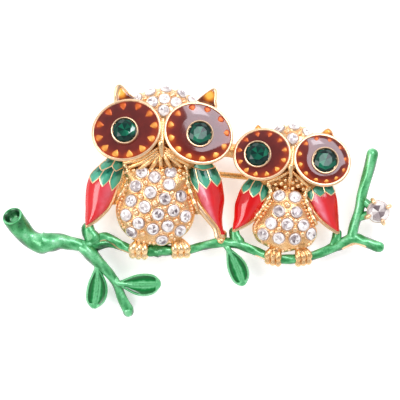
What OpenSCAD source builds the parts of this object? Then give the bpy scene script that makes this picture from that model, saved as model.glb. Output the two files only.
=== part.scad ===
// A large and a small owl side by side on a leafy branch: a brooch lying on its pin, fronts up.
// Millimetres. X runs along the branch, Y up the owls and Z out of their fronts; the table is Z = 0.

/* [Whole brooch] */
// Height of the castings' flat backs over the table, which is the pin's room
back_z = 3.2; // [2.8:0.1:4]
// Clearance between one piece and the next
gap = 0.06; // [0.05:0.01:0.08]
// Thickness of the enamel
enamel_t = 0.45; // [0.35:0.05:0.6]
// Width of the raised lines between two enamels
wire_w = 0.3; // [0.2:0.05:0.4]

/* [Branch] */
// Length from the stump's end to the right twig's end
branch_l = 62.2; // [58:0.2:66]
// Thickness of the stump
stump_d = 3.2; // [2.6:0.1:3.8]
// Thickness of the long limb and of its twigs
limb_d = 1.5; // [1.2:0.1:1.9]
// Width of the widest leaf
leaf_w = 3.6; // [3:0.1:4.2]
// Thickness of a leaf
leaf_t = 1.2; // [1:0.1:1.6]

/* [Big owl] */
// Where along X it sits on the limb
big_x = -6.24; // [-7:0.1:-5.5]
// How far it leans to the right, in degrees
big_lean = 2.5; // [0:0.5:6]
// Height of its eye line over the limb
big_eye_y = 19.1; // [18:0.1:20.4]
// Distance between its eye centres
big_eye_gap = 11.5; // [11.3:0.1:12.4]
// Length of the enamel in its eyes
big_eye_d = 10.5; // [9.6:0.1:10.8]
// Height of its eye rims over the flat back
big_eye_h = 4.8; // [4.2:0.1:5.6]
// Width of its chest
big_chest_w = 12.8; // [12:0.1:13.6]
// Height of its chest
big_chest_h = 12.3; // [11.6:0.1:13]
// Length of its wings
big_wing_l = 11.7; // [10.8:0.1:12]
// Width of its wings
big_wing_w = 5.75; // [5:0.05:6.2]

/* [Small owl] */
// Where along X it sits on the limb
small_x = 14.4; // [13.8:0.1:15.4]
// How far it leans to the right, in degrees
small_lean = 5.4; // [3:0.2:8]
// Height of its eye line over the limb
small_eye_y = 16.4; // [15.6:0.1:17.4]
// Distance between its eye centres
small_eye_gap = 9.62; // [9.4:0.02:10.2]
// Length of the enamel in its eyes
small_eye_d = 8.5; // [7.8:0.1:8.8]
// Height of its eye rims over the flat back
small_eye_h = 4.3; // [3.8:0.1:5]
// Width of its chest
small_chest_w = 10.5; // [9.8:0.1:11]
// Height of its chest
small_chest_h = 9.3; // [8.8:0.1:9.8]
// Length of its wings
small_wing_l = 8.1; // [7.6:0.1:8.6]
// Width of its wings
small_wing_w = 5.6; // [5:0.1:6]

/* [Stones] */
// Diameter of the clear stones on the chests
chest_stone_d = 1.85; // [1.6:0.05:1.85]
// Diameter of the clear stones on the crowns
crown_stone_d = 1.75; // [1.5:0.05:1.75]
// Diameter of the green stones in the eyes
eye_stone_d = 3.8; // [3.2:0.1:4.2]
// Diameter of the clear stone on the right twig
twig_stone_d = 3.5; // [3:0.1:4]

/* [Pin] */
// Thickness of the pin
pin_d = 0.95; // [0.85:0.05:1.1]
// Length of the pin from the hinge block's middle to the catch's middle
pin_l = 24; // [22:0.5:25]
// Length of the pin past the catch's middle, point included
pin_tip_l = 3.8; // [3.4:0.1:4.2]
// Thickness of the pin's free end past the catch
pin_tip_d = 0.6; // [0.5:0.05:0.65]
// Width of the hinge block
hinge_w = 3.2; // [2.6:0.1:3.6]
// Width of the catch along the pin
catch_w = 2.2; // [1.6:0.1:2.8]

/* [Hidden] */

LEFT = -1;
RIGHT = 1;
BIG = 0;
SMALL = 1;

// The owls' sizes, big and small
perch_x = [big_x, small_x];
lean = [big_lean, small_lean];
eye_y = [big_eye_y, small_eye_y];
eye_gap = [big_eye_gap, small_eye_gap];
eye_d = [big_eye_d, small_eye_d];
eye_h = [big_eye_h, small_eye_h];
chest_w = [big_chest_w, small_chest_w];
chest_h = [big_chest_h, small_chest_h];
wing_l = [big_wing_l, small_wing_l];
wing_w = [big_wing_w, small_wing_w];

limb_r = limb_d / 2;
face_x = [-0.35, -1];      // the eye line's middle, from the perch
chest_x = [-0.95, -1];     // the chest's middle, from the perch
chest_edge = [1.5, 1.4];   // height of a chest's edge over the back
chest_rise = [3, 2.6];     // how far a chest bulges over its edge
crown_edge = [0.8, 0.7];
crown_rise = [3.3, 2.8];
wing_edge = [1.3, 1.2];
wing_rise = [1.5, 1.4];
foot_x = [3.4, 2.46];      // from the perch to each foot
eye_ratio = [0.87, 0.905]; // an eye's short axis as a share of its long one
eye_turn = [22, 18];       // turn of the long axis, down towards the outside
eye_tilt = 12;             // how far the eyes look up and outwards
rim_w = 0.38;
bezel_w = 0.28;
stone_shift = [0.02, 0.05]; // how far outwards a stone sits in its eye, as a share of the eye

// The limb from its fork with the stump to the end of the right twig: X, Y, radius as a share of the limb's
LIMB = [[-0.292, -0.120, 1.25], [-0.268, -0.102, 1.05], [-0.243, -0.094, 1], [-0.218, -0.104, 0.98],
    [-0.192, -0.120, 1], [-0.158, -0.130, 1.02], [-0.110, -0.130, 1], [-0.060, -0.129, 1.02],
    [-0.018, -0.126, 0.98], [0.020, -0.115, 1], [0.056, -0.109, 1.06], [0.100, -0.112, 1],
    [0.140, -0.128, 1], [0.185, -0.146, 1.02], [0.230, -0.152, 1], [0.272, -0.148, 1],
    [0.320, -0.134, 0.98], [0.362, -0.116, 1], [0.398, -0.100, 1.08], [0.430, -0.107, 1], [0.466, -0.120, 1.02]];
// The stump from its open end: X, Y, radius as a share of its own thickness, sink as a share of the backs' height
STUMP = [[-0.479, -0.040, 0.46, -0.48], [-0.462, -0.068, 0.49, -0.14], [-0.436, -0.096, 0.47, 0],
    [-0.410, -0.109, 0.50, 0], [-0.386, -0.109, 0.52, 0], [-0.358, -0.105, 0.41, 0],
    [-0.331, -0.110, 0.34, 0], [-0.304, -0.116, 0.31, 0], [-0.288, -0.121, 0.28, 0]];
// The low twig: X, Y, radius as a share of the limb's, sink
LOW_TWIG = [[-0.300, -0.118, 1.20, 0], [-0.281, -0.134, 1.40, 0.05], [-0.258, -0.160, 1.20, 0.15],
    [-0.238, -0.182, 1.02, 0.30], [-0.214, -0.215, 0.86, 0.55], [-0.200, -0.250, 0.94, 0.80],
    [-0.186, -0.280, 1.06, 1], [-0.183, -0.289, 1.06, 1]];
// The tall twig at the right
TALL_TWIG = [[0.396, -0.098, 1], [0.403, -0.063, 0.96], [0.415, -0.025, 0.96], [0.422, 0.014, 1],
    [0.433, 0.053, 1.04], [0.443, 0.091, 1.10], [0.449, 0.120, 1.12]];
// Leaves: stem X, Y, base X, Y, tip X, Y, width as a share of the widest, bend, sink at the base and at the tip
LEAVES = [[-0.258, -0.158, -0.262, -0.172, -0.272, -0.281, 0.94, 0.045, 0.15, 0.62],
    [-0.216, -0.205, -0.207, -0.215, -0.097, -0.216, 1, -0.03, 0.45, 0.40],
    [0.070, -0.112, 0.076, -0.124, 0.117, -0.221, 0.88, 0.03, 0.03, 0.25]];
// A leaf's outline in even steps from base to tip: half width as a share of its widest
LEAF = [0.34, 0.62, 0.88, 0.99, 0.97, 0.78, 0.20];

// Right half of a chest's outline from its top to its bottom: X, Y as shares of its half width and half height
CHESTS = [[[0, 1.25], [0.80, 1.10], [0.78, 0.60], [0.92, 0.20], [1, -0.08], [0.93, -0.42], [0.76, -0.68],
        [0.42, -0.93], [0, -1]],
    [[0, 1.40], [0.40, 1.25], [0.52, 0.86], [0.69, 0.50], [0.90, 0.11], [1, -0.15], [0.93, -0.45],
        [0.70, -0.70], [0, -0.95]]];
// Chest stones: X, Y as shares of the chest's half width and half height
CHEST_STONES = [[[-0.375, 0.90], [-0.05, 0.79], [0.345, 0.93], [-0.51, 0.54], [0.32, 0.62], [-0.14, 0.39],
        [0.62, 0.33], [0.225, 0.24], [-0.61, 0.145], [-0.265, 0.005], [0.075, -0.17], [0.455, -0.06],
        [0.755, -0.19], [-0.72, -0.225], [-0.40, -0.42], [-0.035, -0.555], [0.325, -0.465], [-0.565, -0.665],
        [0.645, -0.57], [0.20, -0.83]],
    [[-0.27, 1.00], [0.205, 1.00], [-0.24, 0.47], [0.285, 0.49], [-0.44, 0.025], [0.045, 0.045], [0.535, 0.06],
        [-0.65, -0.375], [-0.17, -0.45], [0.32, -0.43], [0.80, -0.21]]];
// Crown stones: X, Y as shares of the crown's half width and height
CROWN_STONES = [[[-0.35, 0.84], [0.04, 0.945], [0.44, 0.83], [-0.67, 0.61], [0.70, 0.63], [-0.28, 0.53],
        [0.015, 0.64], [0.31, 0.54], [0.01, 0.27]],
    [[-0.49, 0.76], [-0.01, 0.92], [0.44, 0.74], [-0.04, 0.43]]];

// Seats of the wings, left and right: shoulder X as a share of the chest's half width, drop below the eye line
// as a share of an eye, length and width as shares of the owl's own
SEATS = [[[0.86, 0.41, 1.00, 1], [0.81, 0.41, 1.05, 1]],
    [[0.61, 0.45, 1.11, 0.91], [0.50, 0.45, 0.95, 1.09]]];
// Outlines of the wings, left and right, in even steps from shoulder to tip: outer and inner edge as shares of
// the width
WINGS = [[[[0.42, -0.05], [0.65, -0.05], [0.88, -0.02], [0.97, 0.05], [1, 0.13], [1, 0.22], [0.99, 0.37],
            [0.99, 0.62], [0.98, 0.94]],
        [[0.62, -0.05], [0.78, -0.05], [0.90, 0], [0.96, 0.10], [1, 0.22], [0.98, 0.38], [0.97, 0.60],
            [1.01, 0.82], [1.12, 0.90]]],
    [[[0.62, -0.05], [0.78, -0.05], [0.89, -0.04], [0.95, 0], [1, 0.08], [1, 0.20], [0.99, 0.34],
            [1.01, 0.60], [1.02, 0.97]],
        [[0.70, -0.05], [0.78, -0.04], [0.84, 0.01], [0.88, 0.07], [0.91, 0.18], [0.94, 0.30], [0.96, 0.46],
            [0.99, 0.68], [1.02, 0.96]]]];
// How far down the wings are joined to the chest, left and right, as shares of their length
WEBS = [[0.66, 0.76], [0.78, 0.78]];
// Feathers in the order inner to outer, upper row first: inner and outer side, top and bottom, as shares of the
// wing's width and length there, and 1 where the red starts below it
FEATHERS = [[[[0.06, 0.50, 0.02, 0.185, 0], [0.50, 0.93, 0.02, 0.185, 0],
            [0.04, 0.35, 0.20, 0.46, 1], [0.35, 0.67, 0.20, 0.41, 1], [0.67, 0.96, 0.20, 0.375, 1]],
        [[0.05, 0.94, 0.02, 0.125, 0],
            [0.04, 0.26, 0.14, 0.41, 1], [0.26, 0.66, 0.14, 0.36, 1], [0.66, 0.96, 0.16, 0.33, 1]]],
    [[[0.05, 0.31, 0.03, 0.41, 1], [0.31, 0.69, 0.03, 0.355, 1], [0.69, 0.96, 0.05, 0.30, 1]],
        [[0.05, 0.27, 0.03, 0.375, 1], [0.27, 0.66, 0.03, 0.25, 1], [0.66, 0.95, 0.03, 0.20, 1]]]];
// An ear: inner and outer foot and tip, X and Y from the eye line's middle as shares of the distance between
// the eyes
EARS = [[[0.40, 0.34], [0.74, 0.34], [0.67, 0.64]], [[0.44, 0.32], [0.70, 0.32], [0.595, 0.52]]];

// Shared geometry

function mix(a, b, t) = a + (b - a) * t;
function unit(v) = v / norm(v);
function turn2(p, a) = [p[0] * cos(a) - p[1] * sin(a), p[0] * sin(a) + p[1] * cos(a)];
function middle(pts) = [for (k = [0:len(pts[0]) - 1]) [for (p = pts) p[k]] * [for (p = pts) 1] / len(pts)];

// A smooth curve through four rows, between the middle two
function bend(a, b, c, d, t) =
    0.5 * (2 * b + (c - a) * t + (2 * a - 5 * b + 4 * c - d) * t * t + (3 * b - a - 3 * c + d) * t * t * t);
// The rows of a table met at share t of its length
function along(rows, t) =
    let (n = len(rows) - 1, x = min(max(t, 0), 0.9999) * n, i = floor(x))
    bend(rows[max(i - 1, 0)], rows[i], rows[i + 1], rows[min(i + 2, n)], x - i);
function refine(rows, steps) = [for (i = [0:steps]) along(rows, i / steps)];

// A closed solid from rings of equal length: capped at both ends, the last cap's middle moved by crest, or looped
module skin(rings, crest = [0, 0, 0], looped = false) {
    n = len(rings[0]);
    m = len(rings);
    pts = concat([for (r = rings) each r], looped ? [] : [middle(rings[0]), middle(rings[m - 1]) + crest]);
    walls = [for (k = [0:looped ? m - 1 : m - 2]) for (i = [0:n - 1])
        let (a = k * n + i, b = k * n + (i + 1) % n, c = (b + n) % (m * n), d = (a + n) % (m * n))
        each [[a, b, c], [a, c, d]]];
    caps = looped ? [] : [for (i = [0:n - 1]) let (j = (i + 1) % n)
        each [[m * n, j, i], [m * n + 1, (m - 1) * n + i, (m - 1) * n + j]]];
    faces = concat(walls, caps);
    volume = [for (f = faces) cross(pts[f[0]], pts[f[1]]) * pts[f[2]]] * [for (f = faces) 1];
    polyhedron(pts, volume < 0 ? faces : [for (f = faces) [f[2], f[1], f[0]]]);
}

// A round bar along rows of X, Y, Z, radius, with domed or flat ends
module bar(path, sides = 8, grow = 0, domed = [true, true]) {
    m = len(path) - 1;
    spots = [for (p = path) [p[0], p[1], p[2]]];
    heads = [for (i = [0:m]) unit(spots[min(i + 1, m)] - spots[max(i - 1, 0)])];
    // each ring is half a step on from the one before, so no two neighbouring triangles share a plane
    function ring(k, p, head, r) =
        let (side = unit(cross([0, 0, 1], head)), up = cross(head, side))
        [for (i = [0:sides - 1]) let (a = 360 * (i - k / 2) / sides) p + r * (cos(a) * side + sin(a) * up)];
    function dome(k, i, way) = let (r = path[i][3] + grow)
        [ring(k, spots[i] + way * r * 0.75 * heads[i], heads[i], r * 0.6)];
    skin(concat(domed[0] ? dome(-1, 0, -1) : [],
        [for (i = [0:m]) ring(i, spots[i], heads[i], path[i][3] + grow)], domed[1] ? dome(m + 1, m, 1) : []));
}

// A chain of balls, rows of X, Y, Z, radius, drawn together in pairs
module chain(rows, $fn = 6) {
    for (i = [0:len(rows) - 2]) hull() for (r = [rows[i], rows[i + 1]])
        translate([r[0], r[1], r[2]]) sphere(r[3]);
}

// Branch

function limb_rows(table, r) = [for (p = table)
    [p[0] * branch_l, p[1] * branch_l, (1 - (len(p) > 3 ? p[3] : 0)) * back_z + p[2] * r, p[2] * r]];
limb_path = limb_rows(refine(LIMB, 25), limb_r);
function limb_y(x) = lookup(x, [for (p = limb_path) [p[0], p[1]]]);
function limb_z(x) = lookup(x, [for (p = limb_path) [p[0], p[2]]]);

// From an owl's own axes, X and Y from its perch, to the brooch's
function world(o, p) = let (q = turn2(p, -lean[o])) [perch_x[o] + q[0], limb_y(perch_x[o]) + q[1]];
module place(o) translate([perch_x[o], limb_y(perch_x[o]), 0]) rotate(-lean[o]) children();

// The green stubs that carry the tips of three wings: owl, side, reach along the limb from the tip, radius there
STUBS = [[BIG, LEFT, 1.1, 1.05], [SMALL, LEFT, 0.9, 0.85], [SMALL, RIGHT, -0.5, 0.8]];
module stub(s, grow = 0) {
    tip = world(s[0], wing_tip(s[0], s[1]));
    x = tip[0] + s[2];
    chain([for (k = [[0, 0, s[3]], [0.35, 0.55, 0.85], [0.5, 1, 0.75]])
        [mix(x, tip[0], k[0]), mix(limb_y(x), tip[1], k[1]), back_z + k[2], k[2] + grow]]);
}

module perch(grow = 0) {
    bar(limb_path, 8, grow);
    for (s = STUBS) stub(s, grow);
}

function leaf_axis(k) = let (l = LEAVES[k]) [[l[2], l[3]] * branch_l, [l[4], l[5]] * branch_l];
function leaf_half(k, t) = leaf_w / 2 * LEAVES[k][6] * along([for (w = LEAF) [w]], t)[0];
// A point of leaf k: t from base to tip, s from side to side, lift over its underside
function leaf_point(k, t, s, lift) =
    let (l = LEAVES[k], axis = leaf_axis(k), run = axis[1] - axis[0], side = unit([-run[1], run[0]]),
        half = leaf_half(k, t),
        p = axis[0] + t * run + side * ((2 * s - 1) * half + l[7] * norm(run) * sin(180 * t)))
    [p[0], p[1], (1 - mix(l[8], l[9], t)) * back_z + 0.2 * pow(2 * s - 1, 2) * leaf_t + lift];

module leaf(k) difference() {
    l = LEAVES[k];
    union() {
        skin([for (i = [0:len(LEAF) - 1]) let (t = i / (len(LEAF) - 1))
            [for (s = [0, 1]) leaf_point(k, t, s, 0), for (s = [1, 0.5, 0]) leaf_point(k, t, s, leaf_t)]]);
        bar([[l[0] * branch_l, l[1] * branch_l, (1 - l[8]) * back_z + leaf_t * 0.6, 0.6],
            for (t = [0.1, 0.5, 0.9]) let (p = leaf_point(k, t, 0.5, leaf_t - 0.12))
                [p[0], p[1], p[2], mix(0.4, 0.2, t)]], 4, 0, [false, false]);
    }
    for (side = [LEFT, RIGHT]) leaf_pool(k, side, gap, leaf_t - enamel_t, leaf_t + 1);
}

// Half a leaf's hollow, between its rim and its vein, from one height over the underside to another
leaf_rim = 0.42;
leaf_vein = 0.34;
pool_ends = [0.18, 0.86];   // as shares of the leaf's length
module leaf_pool(k, side, grow, low, high) {
    t0 = pool_ends[0] - grow / 8;
    t1 = pool_ends[1] + grow / 8;
    inner = leaf_vein - grow;
    function out(t) = max(leaf_half(k, t) - leaf_rim + grow, inner + 0.08);
    function spot(t, off, lift) = leaf_point(k, t, 0.5 + side * off / leaf_half(k, t) / 2, lift);
    function ring(lift) = [for (f = [0, 0.33, 0.66, 1]) let (t = mix(t0, t1, f)) spot(t, out(t), lift),
        for (f = [1, 0.5, 0]) spot(mix(t0, t1, f), inner, lift)];
    skin([ring(low), ring(high)]);
}

module branch() color("mediumseagreen") {
    difference() {
        union() {
            bar(limb_rows(STUMP, stump_d), 12, 0, [false, true]);
            perch();
            bar(limb_rows(LOW_TWIG, limb_r));
            bar(limb_rows(TALL_TWIG, limb_r));
            twig_arms();
        }
        stump_hollow();
        twig_seat();
    }
    for (k = [0:len(LEAVES) - 1]) leaf(k);
}

// The stump is broken off hollow
module stump_hollow() {
    end = limb_rows(STUMP, stump_d)[0];
    next = limb_rows(STUMP, stump_d)[1];
    out = unit([for (k = [0:2]) end[k] - next[k]]);
    bar([for (d = [-0.9, 0.1, 1]) [for (k = [0:2]) end[k] + d * out[k], end[3] * (0.66 + 0.12 * d)]],
        10, 0, [false, false]);
}

module leaf_fill(k) color("darkgreen") for (side = [LEFT, RIGHT])
    leaf_pool(k, side, 0, leaf_t - enamel_t + gap, leaf_t - 0.1);
module leaf_enamel_low() leaf_fill(0);
module leaf_enamel_side() leaf_fill(1);
module leaf_enamel_mid() leaf_fill(2);

// Stones

stone_top = 0.3;    // heights of a cut stone as shares of its radius
stone_point = 0.72;
seat_lip = 0.3;     // how far a seat runs on over the girdle

// A round stone, its girdle at Z = 0: a table of n sides, 3 n crown facets and 2 n below
module cut_stone(d, n = 5) {
    r = d / 2;
    edge = [for (i = [0:2 * n - 1]) let (a = 180 * i / n) [r * cos(a), r * sin(a), 0]];
    table = [for (i = [0:n - 1]) let (a = 360 * i / n) [0.6 * r * cos(a), 0.6 * r * sin(a), stone_top * r]];
    pts = concat(edge, table, [[0, 0, -stone_point * r]]);
    sides = [for (i = [0:n - 1])
        let (a = 2 * i, b = a + 1, c = (a + 2) % (2 * n), z = (a + 2 * n - 1) % (2 * n), t = 2 * n + i,
            u = 2 * n + (i + 1) % n)
        each [[t, b, a], [t, a, z], [t, u, b], [3 * n, a, b], [3 * n, b, c]]];
    polyhedron(pts, concat(sides, [for (i = [1:n - 2]) [2 * n, 2 * n + i + 1, 2 * n + i]]));
}

// The cone that a stone sits in, opened upwards
module stone_seat(d, sides = 8) {
    r = (d / 2 + gap) / cos(180 / sides);
    translate([0, 0, -stone_point * r])
        cylinder(h = stone_point * r + seat_lip, r1 = 0, r2 = r + seat_lip / stone_point, $fn = sides);
}

// Domes that carry stones: each is [centre X, Y, outline, edge height, rise]

function reach(outline, a) = let (n = len(outline), d = [cos(a), sin(a)])
    max([0.01, for (i = [0:n - 1]) let (p = outline[i], q = outline[(i + 1) % n], e = q - p, k = cross(d, e))
        if (abs(k) > 1e-9)
            let (s = cross(p, e) / k, t = cross(p, d) / k) if (s > 0 && t >= 0 && t <= 1) s]);

function mirrored(rows, hw, hh) = [for (p = rows) [p[0] * hw, p[1] * hh],
    for (i = [len(rows) - 2:-1:1]) [-rows[i][0] * hw, rows[i][1] * hh]];
function chest(o) = [chest_x[o], limb_r + chest_h[o] / 2,
    mirrored(refine(CHESTS[o], 12), chest_w[o] / 2, chest_h[o] / 2), chest_edge[o], chest_rise[o]];
crown_w = [for (o = [BIG, SMALL]) eye_gap[o] * [1.1, 1][o]];
crown_h = [for (o = [BIG, SMALL]) eye_d[o] * [0.476, 0.464][o]];
function crown(o) = [face_x[o], eye_y[o] + eye_d[o] * [0.190, 0.141][o],
    [for (a = [0:20:340]) [crown_w[o] / 2 * cos(a), crown_h[o] * sin(a)]], crown_edge[o], crown_rise[o]];

// An outline moved back along itself by k half steps
function moved(outline, k) = let (n = len(outline)) [for (i = [0:n - 1])
    (outline[(i + n - floor(k / 2)) % n] + outline[(i + n - ceil(k / 2)) % n]) / 2];
dome_rings = [60, 32]; // angles from the top
module dome(d) {
    function ring(k, s, z) = [for (p = moved(d[2], k)) [d[0] + s * p[0], d[1] + s * p[1], back_z + z]];
    skin([ring(1, 0.96, 0), ring(2, 1, d[3]),
        for (i = [0:1]) let (a = dome_rings[i]) ring(i + 3, sin(a), d[3] + d[4] * cos(a))],
        crest = [0, 0, d[4] * (1 - cos(dome_rings[1]))]);
}

// Puts its children on a dome at X, Y from its centre, square to the surface
module on_dome(d, p) {
    a = atan2(p[1], p[0]);
    far = reach(d[2], a);
    rho = min(norm(p) / far, 0.97);
    steep = atan(d[4] / far * rho / sqrt(1 - rho * rho));
    translate([d[0] + far * rho * cos(a), d[1] + far * rho * sin(a), back_z + d[3] + d[4] * sqrt(1 - rho * rho)])
        rotate([0, 0, a]) rotate([0, steep, 0]) rotate([0, 0, -a]) children();
}

stone_out = 0.12; // height of a girdle over the dome
module chest_spots(o) for (p = CHEST_STONES[o])
    on_dome(chest(o), [p[0] * chest_w[o] / 2, p[1] * chest_h[o] / 2]) translate([0, 0, stone_out]) children();
module crown_spots(o) for (p = CROWN_STONES[o])
    on_dome(crown(o), [p[0] * crown_w[o] / 2, p[1] * crown_h[o]]) translate([0, 0, stone_out]) children();

// Eyes

function eye_mid(o, side) = [face_x[o] + side * eye_gap[o] / 2, eye_y[o], back_z + eye_h[o]];
eye_sides = 16;
// The axes of an eye's plane: along its long axis, across it and out of it
function eye_axes(o, side) =
    let (t = side * eye_turn[o], long = [cos(t), -sin(t), 0],
        short = [sin(t) * cos(eye_tilt), cos(t) * cos(eye_tilt), -sin(eye_tilt)])
    [long, short, cross(long, short)];
// An oval in the eye's own plane: half axes, lift along its normal, centre
function oval(o, side, a, b, lift, at = [0, 0]) = let (axes = eye_axes(o, side))
    [for (i = [0:eye_sides - 1]) let (g = 360 * i / eye_sides)
        eye_mid(o, side) + [at[0] + a * cos(g), at[1] + b * sin(g), lift] * axes];
function eye_oval(o, side, grow, lift) =
    oval(o, side, eye_d[o] / 2 + grow, eye_d[o] / 2 * eye_ratio[o] + grow, lift);

// The stone's place in its eye, in the eye's axes, and a ring round the stone whose flats are r from its middle
stone_lift = 0.55;
function stone_at(o, side) = turn2([side * stone_shift[o], -0.02] * eye_d[o], side * eye_turn[o]);
function stone_ring(o, side, r, lift) =
    let (r1 = r / cos(180 / eye_sides)) oval(o, side, r1, r1, lift, stone_at(o, side));
module stone_place(o, side) {
    axes = eye_axes(o, side);
    at = stone_at(o, side);
    translate(eye_mid(o, side) + [at[0], at[1], stone_lift] * axes)
        multmatrix([for (k = [0:2]) [for (axis = axes) axis[k]]]) children();
}

dish = enamel_t;    // depth of the enamel's dish under the rim
bezel_top = 0.05;   // height of the bezel over the stone's girdle
// The bowl's narrow part under an eye: inset as a share of the eye, height as a share of the rim's
BOWL = [[0.2, 0], [0.06, 0.42]];
function bowl_ring(o, side, grow, row) = [for (p = eye_oval(o, side, grow - row[0] * eye_d[o], 0))
    [p[0], p[1], mix(back_z, p[2], row[1])]];
// The bowl under an eye's rim, from the flat back up to the rim's top
function eye_bowl(o, side, grow) = [for (row = BOWL) bowl_ring(o, side, grow, row),
    eye_oval(o, side, rim_w + grow, -dish), eye_oval(o, side, rim_w * 0.8 + grow, grow)];
module eye_drum(o, side, grow) skin(eye_bowl(o, side, grow));

// An eye's cup: up its bowl, over the rim, down into the dish, up the bezel and down the stone's seat
module eye_cup(o, side) {
    seat_r = eye_stone_d / 2 + gap;
    bezel_r = eye_stone_d / 2 + bezel_w;
    top = stone_lift + bezel_top;
    skin(concat(eye_bowl(o, side, 0), [eye_oval(o, side, gap, 0), eye_oval(o, side, gap, -dish),
        stone_ring(o, side, bezel_r, -dish), stone_ring(o, side, bezel_r, top),
        stone_ring(o, side, seat_r + bezel_top / stone_point, top)]),
        crest = -(stone_point * seat_r / cos(180 / eye_sides) + bezel_top) * eye_axes(o, side)[2]);
}

// The enamel rises from below the rim to a crest, and meets the bezel a little lower
enamel_low = -0.12;
enamel_crest = 0.12;
crest_in = 0.2;     // from the rim, as a share of the eye
module eye_enamel(o, side) color("saddlebrown") place(o) {
    hole = eye_stone_d / 2 + bezel_w + gap;
    skin([eye_oval(o, side, 0, -dish + gap), eye_oval(o, side, 0, enamel_low),
        eye_oval(o, side, -crest_in * eye_d[o], enamel_crest), stone_ring(o, side, hole, enamel_crest - 0.02),
        stone_ring(o, side, hole, -dish + gap)], looped = true);
}
module big_eye_enamel_left() eye_enamel(BIG, LEFT);
module big_eye_enamel_right() eye_enamel(BIG, RIGHT);
module small_eye_enamel_left() eye_enamel(SMALL, LEFT);
module small_eye_enamel_right() eye_enamel(SMALL, RIGHT);

module eye_stone(o, side) color("darkslategray") place(o) stone_place(o, side) cut_stone(eye_stone_d, 8);
module big_eye_stone_left() eye_stone(BIG, LEFT);
module big_eye_stone_right() eye_stone(BIG, RIGHT);
module small_eye_stone_left() eye_stone(SMALL, LEFT);
module small_eye_stone_right() eye_stone(SMALL, RIGHT);

// Wings

function seat(o, side) = SEATS[o][side < 0 ? 0 : 1];
// Point of a wing: t from shoulder to tip, s from its inner to its outer edge, lift over the surface
function wing_xy(o, side, t, s) =
    let (k = seat(o, side), e = along(WINGS[o][side < 0 ? 0 : 1], t))
    [chest_x[o] + side * (k[0] * chest_w[o] / 2 + wing_w[o] * k[3] * mix(e[1], e[0], s)),
        eye_y[o] - k[1] * eye_d[o] - wing_l[o] * k[2] * t];
function wing_point(o, side, t, s, lift) =
    let (p = wing_xy(o, side, t, s),
        swell = pow(max(sin(180 * s), 0), 0.7) * sqrt(sin(180 * mix(0.12, 0.96, t))))
    [p[0], p[1], back_z + wing_edge[o] + wing_rise[o] * swell + lift];
function wing_tip(o, side) = wing_xy(o, side, 1, 0.5);
function wing_span(o, side, t) = abs(wing_xy(o, side, t, 1)[0] - wing_xy(o, side, t, 0)[0]);

module wing(o, side) {
    steps = 8;
    skin([for (i = [0:steps]) let (t = i / steps, a = wing_xy(o, side, t, 0), b = wing_xy(o, side, t, 1))
        [[a[0], a[1], back_z], [b[0], b[1], back_z],
            for (s = [1, 0.8, 0.5, 0.2, 0]) wing_point(o, side, t, s, 0)]]);
}

// The web between a wing and the chest
module web(o, side) {
    end = WEBS[o][side < 0 ? 0 : 1];
    edge = [for (t = [0:end / 4:end]) wing_xy(o, side, t, 0.15)];
    translate([0, 0, back_z]) linear_extrude(chest_edge[o]) polygon(concat(edge,
        [for (i = [4, 0]) [chest_x[o] + side * 0.22 * chest_w[o], edge[i][1]]]));
}

// A feather's outline in shares: pulled in by half the line between two
function feather(o, side, f) =
    let (dt = wire_w / 2 / wing_l[o], ds = wire_w / 2 / wing_span(o, side, mix(f[2], f[3], 0.5)),
        s0 = f[0] + ds, s1 = f[1] - ds, t0 = f[2] + dt, t1 = f[3] - dt, drop = min(0.07, (t1 - t0) / 2))
    [[t0, s0], [t0, mix(s0, s1, 0.5)], [t0, s1], [t1 - drop, s1], [t1, mix(s1, s0, 0.32)],
        [t1, mix(s0, s1, 0.32)], [t1 - drop, s0]];
// The red's outline: scalloped under the lowest feathers, then round the tip
function red(o, side) =
    let (rows = [for (f = FEATHERS[o][side < 0 ? 0 : 1]) if (f[4] == 1) f], dt = wire_w / 2 / wing_l[o],
        ds = wire_w / 2 / wing_span(o, side, rows[0][3]))
    [for (f = rows) each [
            if (f != rows[0]) each [[f[3] - 0.04 + dt, f[0] + ds], [f[3] - 0.01 + dt, mix(f[0], f[1], 0.25)]],
            [f[3] + dt, mix(f[0], f[1], 0.5)], [f[3] - 0.01 + dt, mix(f[0], f[1], 0.75)]],
        for (t = [rows[len(rows) - 1][3] + dt, 0.52, 0.74, 0.92]) [t, 1 - rim_share(o, side, t)],
        for (t = [0.92, 0.74, 0.55]) [t, rim_share(o, side, t)]];
function rim_share(o, side, t) = min(0.3 / wing_span(o, side, t), 0.35);

// A cushion of enamel under an outline on a wing: flat-sided, from one depth to another, a little domed
module cushion(o, side, outline, grow, low, high, swell) {
    c = middle(outline);
    function ring(share, lift) = [for (p = outline)
        let (q = c + share * (p - c), w = wing_point(o, side, q[0], q[1], lift),
            v = [w[0], w[1]] - wing_xy(o, side, c[0], c[1]), n = max(norm(v), 0.01))
        [w[0] + grow * v[0] / n, w[1] + grow * v[1] / n, w[2]]];
    skin([ring(1, low), ring(1, high), if (swell > 0) ring(0.55, high + swell)],
        crest = [0, 0, swell > 0 ? 0 : wing_rise[o]]);
}
module wing_cuts(o, side) {
    for (f = FEATHERS[o][side < 0 ? 0 : 1]) cushion(o, side, feather(o, side, f), gap, -enamel_t, 1, 0);
    cushion(o, side, red(o, side), 1.6 * gap, -enamel_t, 1, 0);
}
module feather_enamel(o, side) color("seagreen") place(o) for (f = FEATHERS[o][side < 0 ? 0 : 1])
    cushion(o, side, feather(o, side, f), 0, -enamel_t + gap, -0.05, 0.08);
module wing_enamel(o, side) color("crimson") place(o)
    cushion(o, side, red(o, side), 0, -enamel_t + gap, -0.05, 0.15);
module big_feather_enamel_left() feather_enamel(BIG, LEFT);
module big_feather_enamel_right() feather_enamel(BIG, RIGHT);
module small_feather_enamel_left() feather_enamel(SMALL, LEFT);
module small_feather_enamel_right() feather_enamel(SMALL, RIGHT);
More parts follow.
